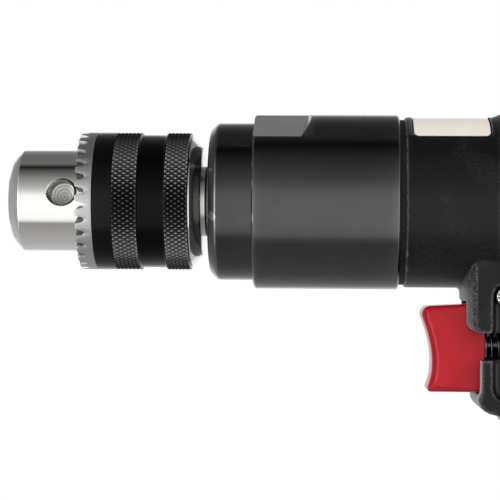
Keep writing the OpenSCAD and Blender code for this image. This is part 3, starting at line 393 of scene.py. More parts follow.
SHARPEST = 0.56
TURNED = (1.0, 0.03, 0.03)
finishes = {}
print("features are counted to the millimetre:", 1 / MM, "to the metre")

# %% [markdown]
# Turned steel carries fine rings round the axis: noise that is squeezed along X and stretched across it.
# Polished and machined steel differ in how deep those rings are and in how far they blur a reflection.


# %% Bare steels
def bare_steel(name, colour, roughness, ring_mm, gap_shade=None):
    steel = Finish(name)
    rings = steel.noise(5.0, detail=3.0, stretch=TURNED)
    smudge = steel.noise(0.22, detail=3.0)
    tone = (rings * 0.5 + smudge * 0.5).mix(tuple(0.9 * part for part in colour), colour)
    # A band of the spindle in the gap between chuck and gear housing is painted near black: painted shade.
    if gap_shade:
        x0, x1, r0 = gap_shade
        tone = ((steel.x > x0) * (steel.x < x1) * (steel.radius() > r0)).mix(tone, (0.02, 0.02, 0.02))
    blur = rings * 0.06 + smudge * 0.06 + (roughness - 0.06)
    steel.set(Base_Color=tone, Metallic=1.0, Roughness=blur)
    steel.bump(rings, ring_mm)


# Where the spindle shows between chuck and collar it is painted dark, as painted shade in that gap.
SHOULDER = (48.1, 52.0, 7.4)
bare_steel("machined_steel", (0.58, 0.57, 0.55), 0.26, 0.010, SHOULDER)
bare_steel("spring_steel", (0.11, 0.11, 0.115), 0.32, 0.003)
bare_steel("bronze", (0.62, 0.43, 0.20), 0.30, 0.008)
print("bare metals:", len(finishes))

# %% [markdown]
# The chuck body is polished all over, but the floors of the key holes still carry the rings of the drill
# that made them. A place inside a key hole is known by its station and its distance from the axis. Folding
# the angle about the axis into one third of a turn makes the three holes one, and the rings follow from the
# distance to that hole's middle.

# %% Polished steel
KEY_HOLE_X, KEY_HOLE_R = 13.5, 3.05
KEY_HOLE_TURN = math.radians(82.5)
BORE_WALL_R, NOSE_SKIN_R = 5.9, 12.2
THIRD = 2.0 * math.pi / 3.0
DRILL_RINGS, DRILL_WANDER = 8.0, 6.0
polish = Finish("polished_steel")
rings = polish.noise(5.0, detail=3.0, stretch=TURNED)
smudge = polish.noise(0.22, detail=3.0)
radius = polish.radius()
angle = polish.z.math("ARCTAN2", polish.y) - (KEY_HOLE_TURN + math.pi / 2)
folded = (angle / THIRD + 4.5).math("FRACT") - 0.5
aside = radius * (folded * THIRD).math("SINE")
ahead = polish.x - KEY_HOLE_X
off_axis = (ahead * ahead + aside * aside).math("SQRT")
drilled = (off_axis < KEY_HOLE_R + 0.02) * (radius > BORE_WALL_R) * (radius < NOSE_SKIN_R)
drill_marks = (off_axis * DRILL_RINGS + smudge * DRILL_WANDER).math("SINE") * 0.5 + 0.5
shine = (rings * 0.5 + smudge * 0.5).mix((0.72, 0.71, 0.69), (0.80, 0.79, 0.77))
cut_steel = drill_marks.mix((0.28, 0.28, 0.28), (0.46, 0.45, 0.44))
polish.set(
    Base_Color=drilled.mix(shine, cut_steel),
    Metallic=1.0,
    Roughness=drilled * 0.26 + rings * 0.06 + smudge * 0.06 + 0.04,
)
polish.bump(rings * 0.1 + drilled * drill_marks, 0.02)
print("key hole rings to the mm:", round(DRILL_RINGS / (2.0 * math.pi), 2))

# %% [markdown]
# The sleeve is steel that was blackened and then worn: the toothed rim in front is bare, and the tips of the
# knurl have rubbed bright. Both follow from place alone: the rim from its station along X, and the wear from
# the distance to the axis. Every edge also gets a painted highlight, stronger on the knurl, and deep in the
# tooth spaces the bare rim gets a painted shade.

# %% Blackened sleeve
RIM_END = 21.3
KNURL_START, GROOVE_START, GROOVE_END = 26.15, 32.05, 38.85
SLEEVE_R = size_of("chuck_sleeve", 2)[1]
sleeve = Finish("black_sleeve")
radius = sleeve.radius()
rub = sleeve.noise(1.1, detail=3.0)
knurled = (sleeve.x > KNURL_START) * (1.0 - (sleeve.x > GROOVE_START) * (sleeve.x < GROOVE_END))
topmost = ((radius - (SLEEVE_R - 0.09)) * 12.0).clamp()
tips = topmost * rub.ramp((0.38, 0.0), (0.66, 1.0)) * knurled
# Bright knurl tips are wear; the lift on every edge, from pointiness, is a painted highlight.
wear_and_edge_highlight = (tips * 0.7 + sleeve.edges() * (knurled * 0.2 + 0.06)).clamp()
bare = sleeve.x < RIM_END
rings = sleeve.noise(5.0, detail=2.0, stretch=TURNED)
black = wear_and_edge_highlight.mix(knurled.mix((0.007, 0.007, 0.0075), (0.014, 0.014, 0.015)), (0.22, 0.22, 0.22))
# Deep in the tooth spaces the bare rim is painted near black: painted shade, fading out towards the outer
# skin.
notch_shade_fade = ((radius - (SLEEVE_R - 1.3)) / 1.1).clamp()
rim_with_notch_shade = notch_shade_fade.mix((0.03, 0.03, 0.03), rings.mix((0.42, 0.42, 0.41), (0.50, 0.50, 0.49)))
sleeve.set(
    Base_Color=bare.mix(black, rim_with_notch_shade),
    Metallic=bare * 0.15 + 0.85,
    Roughness=bare * 0.22 + rings * 0.06 + 0.20,
    Specular_IOR_Level=0.1,
)
sleeve.bump(rings, 0.006)
print("bare rim ends at mm:", RIM_END)

# %% [markdown]
# The gear housing is turned steel under a thin gloss black: a dark metal that mirrors the room softly, with
# bright chamfers. Its edges and chamfers are also lightened from the mesh's pointiness, a painted highlight.
# Its two wrench flats are milled afterwards and show a lighter, cloudy grey, so the finish asks how far a
# place lies along the direction that the flats face, and whether it faces that way too.

# %% Gloss black gear housing
FLATS_TURN = math.radians(22.5)
FLATS_HALF = 19.8
FLATS_SKIN, FLATS_TRUE = 0.03, 0.98
FLATS_WAY = (-math.sin(FLATS_TURN), math.cos(FLATS_TURN))
gearbox = Finish("black_gearbox")
reach = (gearbox.y * FLATS_WAY[0] + gearbox.z * FLATS_WAY[1]).abs()
level = (gearbox.faces("Y") * FLATS_WAY[0] + gearbox.faces("Z") * FLATS_WAY[1]).abs()
milled = ((reach - FLATS_HALF).abs() < FLATS_SKIN) * (level > FLATS_TRUE)
rings = gearbox.noise(3.2, detail=4.0, stretch=(1.0, 0.02, 0.02))
cloud = gearbox.noise(0.16, detail=3.0)
skin = cloud.mix((0.058, 0.058, 0.059), (0.077, 0.077, 0.078))
# Edges and chamfers are lightened from pointiness: a painted highlight.
paint_and_edge_highlight = (gearbox.edges() * 0.8).clamp().mix(skin, (0.34, 0.34, 0.35))
bare = cloud.mix((0.58, 0.58, 0.59), (0.70, 0.70, 0.71))
gearbox.set(
    Base_Color=milled.mix(paint_and_edge_highlight, bare),
    Metallic=1.0,
    Roughness=milled * 0.20 + rings * 0.06 + 0.17,
)
gearbox.bump(rings, 0.004)
print("flats at mm:", FLATS_HALF)

# %% [markdown]
# The motor housing is a casting under black powder coat. The coat is satin on the round barrel. Bright specks
# in patches, and grainy glints on edges and on faces that look towards the chuck, are painted highlights in
# the base colour. A cell pattern gives the pebble, and slow noise gives the uneven flow.

# %% Powder coat
PEBBLES = 2.3
coat = Finish("black_housing")
pebble = coat.cells(PEBBLES)
flow = coat.noise(0.5, detail=4.0)
fine = coat.noise(4.5, detail=2.0)
patchy = coat.noise(0.12, detail=2.0).ramp((0.48, 0.0), (0.62, 1.0))
# The masks below paint highlights into the base colour: specks in patches, and grainy glints on sharp edges
# and on faces that look towards the chuck.
speck = fine.ramp((0.52, 0.0), (0.66, 1.0))
sparse = fine.ramp((0.58, 0.0), (0.68, 1.0)) * patchy
front = (coat.faces("X") * -1.4 - 0.35).clamp()
coat_edges = coat.edges(0.513)
glint = speck * (coat_edges * 0.9 + front * 0.9) + coat_edges * 0.10 + sparse * 0.12
black = flow.mix((0.0035, 0.0035, 0.004), (0.006, 0.006, 0.0065))
coat.set(
    Base_Color=glint.clamp().mix(black, (0.30, 0.30, 0.305)),
    Roughness=flow * 0.10 + 0.27,
    Metallic=0.0,
    Specular_IOR_Level=0.20,
)
relief = patchy * 0.4 + coat_edges * 0.8 + front * 0.6 + 0.05
coat.bump(((1.0 - pebble) * 0.6 + fine * 0.4) * relief, 0.09)
print("powder coat pebbles to the mm:", PEBBLES)

# %% [markdown]
# The trigger is moulded in red, with a shiny skin and a faint bloom at grazing angles. The name plate is a
# bare pale sheet with a faint brushed grain. Rubber, vane and felt are plain stuffs, each with its own grain.

# %% Red, rubber and the rest
red = Finish("red_trigger")
flow = red.noise(0.25, detail=3.0)
skin = red.noise(3.0, detail=2.0)
red.set(
    Base_Color=flow.mix((0.34, 0.003, 0.010), (0.50, 0.006, 0.015)),
    Roughness=skin * 0.06 + 0.22,
    Specular_IOR_Level=0.16,
    Coat_Weight=0.15,
    Coat_Roughness=0.10,
    Sheen_Weight=0.14,
    Sheen_Roughness=0.35,
)
red.bump(skin, 0.006)

plate = Finish("name_plate")
brush = plate.noise(6.0, detail=3.0, stretch=(0.05, 1.0, 1.0))
stain = plate.noise(0.3, detail=4.0)
plate.set(
    Base_Color=(brush * 0.4 + stain * 0.6).mix((0.70, 0.64, 0.55), (0.80, 0.75, 0.67)),
    Roughness=brush * 0.10 + 0.36,
    Metallic=0.0,
)
plate.bump(brush, 0.004)


def plain_stuff(name, dark, pale, roughness, grain, grain_mm):
    stuff = Finish(name)
    mottle = stuff.noise(grain, detail=4.0)
    blur = mottle * 0.12 + (roughness - 0.06)
    stuff.set(Base_Color=mottle.mix(dark, pale), Roughness=blur, Specular_IOR_Level=0.15)
    stuff.bump(mottle, grain_mm)


STUFFS = {
    "black_rubber": ((0.005, 0.005, 0.005), (0.010, 0.010, 0.010), 0.55, 2.0, 0.02),
    "vane": ((0.20, 0.10, 0.05), (0.28, 0.15, 0.08), 0.50, 1.5, 0.02),
    "felt": ((0.36, 0.31, 0.24), (0.50, 0.44, 0.35), 0.90, 3.0, 0.15),
}
for name, recipe in STUFFS.items():
    plain_stuff(name, *recipe)
print("finishes:", sorted(finishes))

# %% [markdown]
# Every CAD node names the slot that its finish comes from, so the whole frame is dressed in one loop. The
# trigger's stem gets the dark spring steel of the coil round it, as painted shade: it sits in shade inside
# the notch. Pieces that stand in for a node are dressed as they are made.

# %% Dress the frame
slot_of = {row["node"]: row["material_slot"] for row in frame["record"]["subparts"]}
# The dark finish on the stem is painted shade: the stem sits in shade inside the notch.
slot_of["trigger_stem"] = "spring_steel"
for name, node in nodes.items():
    node.data.materials.clear()
    node.data.materials.append(finishes[slot_of[name]].material)
print("dressed nodes:", len(slot_of))

# %% [markdown]
# ## Tools for making pieces
#
# Most of a drill is turned on a lathe, so most pieces here are too: an outline of stations and radii, spun
# about the X axis. Corners of an outline carry their own rounding. Holes, flats and tooth spaces are then cut
# with Boolean modifiers, and a Bevel modifier breaks the edges that the cut leaves.


# %% Outline and mesh helpers
def soften(outline, steps=4):
    """A closed outline with each (x, r, rounding) corner replaced by a short curve."""
    points = []
    for place, corner in enumerate(outline):
        at = Vector(corner[:2])
        rounding = corner[2] if len(corner) > 2 else 0.0
        before = Vector(outline[place - 1][:2]) - at
        after = Vector(outline[(place + 1) % len(outline)][:2]) - at
        cut = min(rounding, before.length / 2, after.length / 2)
        if cut == 0.0:
            points.append(tuple(at))
            continue
        start = at + before.normalized() * cut
        end = at + after.normalized() * cut
        for step in range(steps + 1):
            t = step / steps
            points.append(tuple((1 - t) ** 2 * start + 2 * t * (1 - t) * at + t * t * end))
    return points


def arc(x, y, r, angles):
    """Points on a circle at the given angles."""
    return [(x + r * math.cos(a), y + r * math.sin(a)) for a in angles]


def weave(rows, columns, closed=False):
    """Four-sided faces over rows of points. Each row is a ring; if closed, the last row joins the first."""
    faces = []
    for row in range(rows if closed else rows - 1):
        low, high = row * columns, (row + 1) % rows * columns
        for column in range(columns):
            after = (column + 1) % columns
            faces.append((low + column, low + after, high + after, high + column))
    return faces


def lathe(outline, turns, steps=4):
    """Points and faces of a closed outline spun about the X axis."""
    points = soften(outline, steps)
    angles = [2.0 * math.pi * k / turns for k in range(turns)]
    verts = [(x, r * math.cos(a), r * math.sin(a)) for x, r in points for a in angles]
    return verts, weave(len(points), turns, closed=True)


def prism(outline, direction, low, high):
    """A flat outline drawn out along X, Y or Z; the outline's two axes are the other two, in order."""
    verts = []
    for depth in (low, high):
        for a, b in outline:
            verts.append({"X": (depth, a, b), "Y": (a, depth, b), "Z": (a, b, depth)}[direction])
    count = len(outline)
    faces = [tuple(range(count)), tuple(range(2 * count - 1, count - 1, -1))]
    return verts, faces + weave(2, count)


def solid(name, shape, turn=None):
    """A closed mesh object from points in millimetres, turned if asked."""
    verts, faces = shape
    mesh = bpy.data.meshes.new(name)
    mesh.from_pydata([Vector(v) * MM for v in verts], [], faces)
    if turn is not None:
        mesh.transform(turn)
    work = bmesh.new()
    work.from_mesh(mesh)
    bmesh.ops.remove_doubles(work, verts=work.verts, dist=1e-7)
    bmesh.ops.dissolve_degenerate(work, edges=work.edges, dist=1e-8)
    bmesh.ops.recalc_face_normals(work, faces=work.faces)
    work.to_mesh(mesh)
    work.free()
    return put(name, mesh)


def bake(piece):
    """Replaces a piece's mesh by what its modifiers make of it."""
    bpy.context.view_layer.update()
    shaped = piece.evaluated_get(bpy.context.evaluated_depsgraph_get())
    mesh = bpy.data.meshes.new_from_object(shaped)
    plain = piece.data
    piece.modifiers.clear()
    piece.data = mesh
    bpy.data.meshes.remove(plain)


def carve(piece, cutters, operation="DIFFERENCE"):
    """Cuts shapes out of a piece, or joins them to it, and clears the cutters away."""
    for cutter in cutters:
        step = piece.modifiers.new(cutter.name, "BOOLEAN")
        step.object = cutter
        step.solver = "EXACT"
        step.operation = operation
    bake(piece)
    for cutter in cutters:
        mesh = cutter.data
        bpy.data.objects.remove(cutter)
        bpy.data.meshes.remove(mesh)


def break_edges(piece, width_mm, angle, segments=2):
    """Rounds the edges that are sharper than an angle."""
    step = piece.modifiers.new("broken edges", "BEVEL")
    step.width = width_mm * MM
    step.segments = segments
    step.limit_method = "ANGLE"
    step.angle_limit = math.radians(angle)
    bake(piece)


def settle(piece, body, slot, *replaced, sharp=32.0):
    """Finishes a piece: material, shading, the body that it rides on and the nodes that it stands for."""
    piece.data.materials.clear()
    piece.data.materials.append(finishes[slot].material)
    piece.data.shade_smooth()
    piece.data.set_sharp_from_angle(angle=math.radians(sharp))
    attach(piece, body)
    if replaced:
        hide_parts(*replaced)
    print(piece.name, "faces:", len(piece.data.polygons))


print("tools for pieces are ready")

# %% [markdown]
# ## Chuck body
#
# The nose is a polished steel cylinder with a softly coned front, a hole for the bit, and three blind holes
# for the pilot of the key. The sloping jaw channels are cut as well, because the jaws show down the bore.

# %% Chuck body
NOSE_R = 12.6
KEY_HOLE_FLOOR, KEY_HOLE_POINT = 7.2, 1.0
JAW_REAR = (40.0, 12.246)
JAW_SLOPE = math.radians(15.5)
JAW_CHANNEL_R = 2.8
nose = solid("chuck_body_turned", lathe([
    (0.0, 5.2, 0.5), (0.0, 9.3, 0.25), (0.85, 10.75, 0.3), (1.9, 11.85, 0.4), (2.9, NOSE_R, 0.12),
    (20.2, NOSE_R), (20.2, 9.54), (26.8, 9.54), (26.8, NOSE_R), (40.3, NOSE_R), (40.3, 15.3), (44.8, 15.3),
    (44.8, 15.95, 0.05), (47.35, 13.4, 0.25),
    (47.35, 4.76), (34.6, 4.76), (34.6, 2.05), (31.0, 2.05), (31.0, 5.6), (4.0, 5.6), (4.0, 5.2),
], turns=192))
key_hole = [
    (KEY_HOLE_FLOOR - KEY_HOLE_POINT, 0.0), (KEY_HOLE_FLOOR, KEY_HOLE_R), (11.6, KEY_HOLE_R),
    (12.8, KEY_HOLE_R + 0.9), (14.5, KEY_HOLE_R + 0.9), (14.5, 0.0),
]
jaw_channel = [(-60.0, 0.0), (-60.0, JAW_CHANNEL_R), (0.9, JAW_CHANNEL_R), (0.9, 0.0)]
cutters = []
stand = moved((KEY_HOLE_X, 0, 0), -math.pi / 2, "Y")
lean = moved((JAW_REAR[0], 0, JAW_REAR[1]), -JAW_SLOPE, "Y")
for hole in range(3):
    about = Matrix.Rotation(KEY_HOLE_TURN + hole * THIRD, 4, "X")
    cutters.append(solid(f"key_hole_cut_{hole}", lathe(key_hole, turns=64), about @ stand))
    between = Matrix.Rotation(KEY_HOLE_TURN + (hole + 0.5) * THIRD, 4, "X")
    cutters.append(solid(f"jaw_cut_{hole}", lathe(jaw_channel, turns=48), between @ lean))
carve(nose, cutters)
settle(nose, "spindle", "polished_steel", "chuck_body")

# %% [markdown]
# ## Sleeve
#
# The sleeve turns on the chuck body. Its front rim is a ring of thirty tooth spaces for the key, each a
# rounded notch cut straight towards the axis. Behind it lie a smooth band, two knurled bands and the plain
# groove between.

# %% Toothed sleeve
TEETH = 30
RIM_X = 17.25
NOTCH_DEPTH = 2.3
NOTCH_HALF = 1.02
FRONT_KNURL, REAR_KNURL = (26.2, 32.0), (38.9, 44.3)
KNURL_BANDS = {"sleeve_knurl_front": FRONT_KNURL, "sleeve_knurl_rear": REAR_KNURL}
KNURL_SEAT_R = SLEEVE_R - 0.5
GROOVE_R = SLEEVE_R - 0.6
SLEEVE_END = 44.5
shell = solid("chuck_sleeve_shell", lathe([
    (RIM_X, 12.65, 0.15), (RIM_X, SLEEVE_R, 0.45), (21.15, SLEEVE_R), (RIM_END, SLEEVE_R - 0.13),
    (21.45, SLEEVE_R), (26.05, SLEEVE_R, 0.2), (FRONT_KNURL[0], KNURL_SEAT_R), (FRONT_KNURL[1], KNURL_SEAT_R),
    (GROOVE_START, SLEEVE_R - 0.05, 0.08), (32.25, SLEEVE_R - 0.1, 0.1), (32.45, GROOVE_R, 0.15),
    (38.4, GROOVE_R, 0.15), (38.6, SLEEVE_R - 0.1, 0.1), (GROOVE_END, SLEEVE_R - 0.05, 0.08),
    (REAR_KNURL[0], KNURL_SEAT_R), (REAR_KNURL[1], KNURL_SEAT_R), (44.32, SLEEVE_R - 0.2, 0.05),
    (44.42, SLEEVE_R - 0.45, 0.1), (SLEEVE_END, 16.1, 0.1), (SLEEVE_END, 15.4),
    (26.5, 15.4), (26.5, 14.6), (20.5, 14.6), (20.5, 12.65),
], turns=240))
flank = ((-0.6, 1.2), (0.0, 1.1), (0.78, 0.62), (0.94, 0.42), (1.0, 0.2))
notch = [(RIM_X + NOTCH_DEPTH * deep, -NOTCH_HALF * wide) for deep, wide in flank]
notch += [(RIM_X + NOTCH_DEPTH * deep, NOTCH_HALF * wide) for deep, wide in reversed(flank)]
verts, faces = prism(notch, "Z", 11.0, 19.0)
notch_verts, notch_faces = [], []
for tooth in range(TEETH):
    about = Matrix.Rotation(2.0 * math.pi * tooth / TEETH, 3, "X")
    first = len(notch_verts)
    notch_verts += [tuple(about @ Vector(v)) for v in verts]
    notch_faces += [tuple(first + k for k in face) for face in faces]
carve(shell, [solid("tooth_spaces", (notch_verts, notch_faces))])
break_edges(shell, 0.09, angle=50.0)
settle(shell, "chuck_sleeve", "black_sleeve", "chuck_sleeve", sharp=28.0)

# %% [markdown]
# A diamond knurl is two sets of slanting grooves. On a grid of half diamonds the corners are in turn a
# crossing of grooves and a tip, and every groove runs down a diagonal. So the tips can be true little
# pyramids with their tops rubbed flat, and no displacement texture is needed.

# %% Knurled bands
DIAMONDS = 84
HALF_ROWS = 6
FINE = 3
KNURL_DEPTH = 0.42
TIP_FLAT = 0.92


def knurl_band(x0, x1):
    """A ring of knurl between two stations, closed by a plain seat inside."""
    seat_r = KNURL_SEAT_R - 0.02
    columns = 2 * DIAMONDS * FINE
    rows = HALF_ROWS * FINE
    angles = [2.0 * math.pi * column / columns for column in range(columns)]
    verts, faces = [], []
    for row in range(rows + 1):
        for column, angle in enumerate(angles):
            across, along = column / FINE, row / FINE
            s, t = across % 1.0, along % 1.0
            flip = (math.floor(across) + math.floor(along)) % 2
            off_groove = abs(s - t) if flip == 0 else abs(s + t - 1.0)
            radius = SLEEVE_R - KNURL_DEPTH * (1.0 - min(off_groove / TIP_FLAT, 1.0))
            x = x0 + (x1 - x0) * row / rows
            verts.append((x, radius * math.cos(angle), radius * math.sin(angle)))
    for row in range(rows):
        for column in range(columns):
            flip = (column // FINE + row // FINE) % 2
            a, b = row * columns + column, row * columns + (column + 1) % columns
            c, d = a + columns, b + columns
            faces += [(a, c, d), (a, d, b)] if flip == 0 else [(a, c, b), (b, c, d)]
    for x in (x1, x0):
        verts += [(x, *place) for place in arc(0.0, 0.0, seat_r, angles)]
    around = weave(rows + 3, columns, closed=True)
    return verts, faces + around[rows * columns:]


for name, (x0, x1) in KNURL_BANDS.items():
    settle(solid(name, knurl_band(x0, x1)), "chuck_sleeve", "black_sleeve", sharp=20.0)

# %% [markdown]
# ## Gear housing
#
# One turned piece: a collar with a chamfered front, a step with a broken edge, the long main part and a
# chamfer at its end. Two wrench flats are milled into it behind the step, and each runs out in a short slope.
# A few plain rings along the main part keep the painted edge highlight from smearing down long faces.

# %% Gear housing
STEP_X = 60.05
GEARBOX_R = 21.5
GEARBOX_END = 95.55
FLAT_LEN, FLAT_LEAN, FLAT_WIDE = 12.4, 0.9, 11.0
RUN_OUT = 0.9
COLLAR_R, CHAMFER = 19.4, 0.45
PLAIN_RINGS = (61.5, 64.0, 68.0, 74.8, 75.6, 80.0, 85.0, 90.0, 93.0)
gear_case = solid("gear_housing_turned", lathe([
    (49.25, 10.9, 0.2), (49.25, 17.5, 0.5), (51.15, COLLAR_R, 0.6), (STEP_X, COLLAR_R),
    (STEP_X, GEARBOX_R - CHAMFER, 0.1), (STEP_X + CHAMFER, GEARBOX_R, 0.12),
    *[(x, GEARBOX_R) for x in PLAIN_RINGS],
    (GEARBOX_END - CHAMFER, GEARBOX_R, 0.12), (GEARBOX_END, GEARBOX_R - CHAMFER, 0.1),
    (GEARBOX_END, 19.5), (79.55, 19.5), (79.55, 18.5), (66.05, 18.5),
    (66.05, 17.0), (60.75, 17.0), (60.75, 14.0), (52.05, 14.0), (52.05, 10.9),
], turns=192))
FLAT_END = STEP_X + FLAT_LEN
flat_outline = [(STEP_X - 1.0, FLAT_WIDE), (STEP_X - 1.0, -FLAT_WIDE)]
flat_outline += [(FLAT_END - FLAT_LEAN, -FLAT_WIDE), (FLAT_END + FLAT_LEAN, FLAT_WIDE)]
verts, faces = prism(flat_outline, "Z", FLATS_HALF, FLATS_HALF + 10.0)
verts = [(x + (RUN_OUT * (z - FLATS_HALF) if x > STEP_X else 0.0), y, z) for x, y, z in verts]
cutters = []
for side in (0.0, math.pi):
    about = Matrix.Rotation(side + FLATS_TURN, 4, "X")
    cutters.append(solid("flat_cut", (verts, faces), about))
carve(gear_case, cutters)
settle(gear_case, "housing", "black_gearbox", "gear_housing", sharp=18.0)

# %% [markdown]
# ## Motor housing
#
# The real housing is one casting: barrel, neck and pistol grip run into each other with soft edges. Hard
# Booleans would look milled, so the rough masses are joined, slot and side pockets are cut, and then a voxel
# Remesh and a Smooth modifier melt every edge by about a millimetre, as sand and powder coat do.


# %% Shapes for the handle
def bezier(p, q, r, steps=10):
    """Points of a curve with three control points."""
    p, q, r = Vector(p), Vector(q), Vector(r)
    shares = [step / steps for step in range(steps + 1)]
    return [tuple((1 - t) ** 2 * p + 2 * t * (1 - t) * q + t * t * r) for t in shares]


def round_box(x0, y0, x1, y1, r, steps=8):
    """A rectangle with round corners."""
    corners = ((x1 - r, y1 - r, 0), (x0 + r, y1 - r, 1), (x0 + r, y0 + r, 2), (x1 - r, y0 + r, 3))
    points = []
    for x, y, quarter in corners:
        points += arc(x, y, r, [math.pi / 2 * (quarter + step / steps) for step in range(steps + 1)])
    return points


def patch(rows, r_in, r_out, columns=24):
    """A sheet wrapped round the X axis: rows of (angle from the top towards the viewer, low x, high x)."""
    verts = []
    for angle, low, high in rows:
        places = [low + (high - low) * column / columns for column in range(columns + 1)]
        for r, line in ((r_in, places), (r_out, reversed(places))):
            verts += [(x, -r * math.sin(angle), r * math.cos(angle)) for x in line]
    ring = 2 * columns + 2
    faces = weave(len(rows), ring)
    for end in (0, (len(rows) - 1) * ring):
        faces += [(end + k, end + k + 1, end + ring - 2 - k, end + ring - 1 - k) for k in range(columns)]
    return verts, faces


GRIP_LEAN = 8.0
GRIP = moved((140.55, 0.0, -50.0), math.radians(-GRIP_LEAN), "Y")
DOWN_GRIP = GRIP @ Matrix.Rotation(-math.pi / 2, 4, "Y")
STEM = moved((0.0, 0.0, -35.0))
PIVOT = (135.05, -25.2)
print("the grip leans by degrees:", GRIP_LEAN)

# %% [markdown]
# The rough masses are a barrel with a domed rear end, a neck whose front is bowed in plan, and the leaning
# grip. The trigger's slot is cut into the neck. The notch behind the trigger opens on the near side only.

# %% Rough masses
HANDLE_X = 110.8
BARREL_R, REAR_R = 21.0, 21.9
dome = [
    (166.05 + 16.0 * math.sin(t), REAR_R - 10.9 * (1.0 - math.cos(t)))
    for t in (math.pi / 2 * step / 14.0 for step in range(15))
]
casting = solid("motor_housing_cast", lathe([
    (100.0, 0.0), (100.0, BARREL_R - 0.1), (118.0, BARREL_R - 0.1), (118.3, BARREL_R - 0.02),
    (120.6, REAR_R), *dome, (182.05, 0.0),
], turns=128))
neck_side = [(144.55, 0.0), (HANDLE_X, 0.0)]
neck_side += bezier((HANDLE_X, -24.2), (HANDLE_X, -31.8), (115.2, -31.8))
neck_side += [(115.2, -47.0), (114.3, -47.0)]
neck_side += bezier((114.3, -47.8), (114.7, -51.2), (119.8, -51.6))
neck_side += [(122.3, -55.0), (144.55, -59.0)]
neck = solid("neck", prism(neck_side, "Y", -15.0, 15.0))
NOSE_PLAN_R = 42.0
bow = [
    (HANDLE_X + NOSE_PLAN_R * (1.0 - math.cos(a)), NOSE_PLAN_R * math.sin(a))
    for a in (math.radians(30.0) * (step / 20.0 - 1.0) for step in range(41))
]
neck_plan = prism(bow + [(170.0, 21.0), (170.0, -21.0)], "Z", -90.0, 10.0)
carve(neck, [solid("neck_plan", neck_plan)], "INTERSECT")
grip = solid("grip", prism(round_box(-18.5, -14.6, 18.5, 14.6, 11.0), "Z", -82.0, 38.0), GRIP)
carve(casting, [neck, grip], "UNION")
side_pocket = round_box(118.1, -47.7, 150.05, -20.2, 2.4)
pockets = [
    solid("slot_cut", prism(round_box(90.0, -47.0, 126.05, -24.2, 0.5), "Y", -8.3, 8.3)),
    solid("notch_cut", prism(round_box(90.0, -38.2, 121.4, -31.8, 0.3), "Y", -30.0, 0.0)),
    solid("left_pocket", prism(side_pocket, "Y", -30.0, -11.5)),
    solid("right_pocket", prism(side_pocket, "Y", 11.5, 30.0)),
]
carve(casting, pockets)
print("rough casting faces:", len(casting.data.polygons))

# %% [markdown]
# Melting comes before boring, so that every bore, and the shallow recesses for the plates, stay crisp.

# %% Melt the edges and bore the casting
VOXEL = 0.6
SAND_SHARE, SAND_PASSES = 0.5, 7
remesh = casting.modifiers.new("melt", "REMESH")
remesh.mode = "VOXEL"
remesh.voxel_size = VOXEL * MM
smooth = casting.modifiers.new("sanded", "SMOOTH")
smooth.factor = SAND_SHARE
smooth.iterations = SAND_PASSES
bake(casting)

PLATE_X = (98.85, 117.2)
PLATE_HALF = 13.9
PLATE_R, PLATE_THICK = 20.8, 0.35
RECESS_MARGIN = 0.3
BADGE_AT = (142.95, 2.0)
BADGE_R, BADGE_HALF = 22.0, 13.0
BADGE_FLOOR = REAR_R - 0.7


def plate_rows(margin, r, corner=1.2, count=32):
    """Rows of the name plate: each row's ends draw in near the corners."""
    rows = []
    half, corner = PLATE_HALF + margin, corner + margin
    for step in range(count + 1):
        y = half * math.sin(math.pi / 2 * (2.0 * step / count - 1.0))
        over = max(0.0, abs(y) - (half - corner))
        inset = corner - math.sqrt(max(0.0, corner * corner - over * over))
        rows.append((math.asin(y / r), PLATE_X[0] - margin + inset, PLATE_X[1] + margin - inset))
    return rows


def badge_rows(margin, r, side, count=20):
    """Rows of a side badge: a disc with its top and bottom cut off level."""
    rows = []
    for step in range(count + 1):
        z = (BADGE_HALF + margin) * (2.0 * step / count - 1.0)
        reach = math.sqrt((BADGE_R + margin) ** 2 - z * z)
        angle = math.acos((BADGE_AT[1] + z) / r)
        rows.append((side * angle, BADGE_AT[0] - reach, BADGE_AT[0] + reach))
    return rows


def bored(name, x0, x1, r, turn=None):
    """A plain round cutter."""
    return solid(name, lathe([(x0, 0.0), (x0, r), (x1, r), (x1, 0.0)], turns=96), turn)


plate_cut = patch(plate_rows(RECESS_MARGIN, PLATE_R), PLATE_R - PLATE_THICK, 23.0)
cross_bore = moved((PIVOT[0], 0.0, PIVOT[1]), math.pi / 2, "Z")
cutters = [
    solid("plate_cut", plate_cut),
    solid("left_badge_cut", patch(badge_rows(RECESS_MARGIN, REAR_R, 1.0), BADGE_FLOOR, 24.0)),
    solid("right_badge_cut", patch(badge_rows(RECESS_MARGIN, REAR_R, -1.0), BADGE_FLOOR, 24.0)),
    bored("motor_bore", 90.0, 143.55, 18.0),
    bored("rear_chamber", 143.0, 161.5, 13.0),
    bored("bush_bore", 125.0, 134.1, 4.5, STEM),
    bored("throttle_chamber", 134.0, 152.1, 5.0, STEM),
    bored("reverse_bore", -40.0, 40.0, 3.55, cross_bore),
    bored("inlet_bore", -90.0, -65.0, 8.0, DOWN_GRIP),
]
carve(casting, cutters)
settle(casting, "housing", "black_housing", "motor_housing", sharp=38.0)

# %% [markdown]
# The front of the barrel is turned afterwards on the real thing, so it is a crisp lathe piece over the cast.

# %% Turned front of the barrel
barrel = solid("motor_housing_barrel", lathe([
    (80.0, 18.0), (80.0, 19.45), (96.85, 19.45), (96.85, BARREL_R, 1.5), (118.15, BARREL_R, 0.2),
    (118.7, BARREL_R - 0.25), (118.7, 18.0),
], turns=192, steps=6))
carve(barrel, [solid("plate_cut", plate_cut)])
settle(barrel, "housing", "black_housing", sharp=38.0)

# %% [markdown]
# ## Plates
#
# The pale plate on the barrel and the two dark side badges are thin sheets that follow the curve below them.
# They carry no words here. Each is a wrapped sheet with its rim broken, set into its own shallow recess.

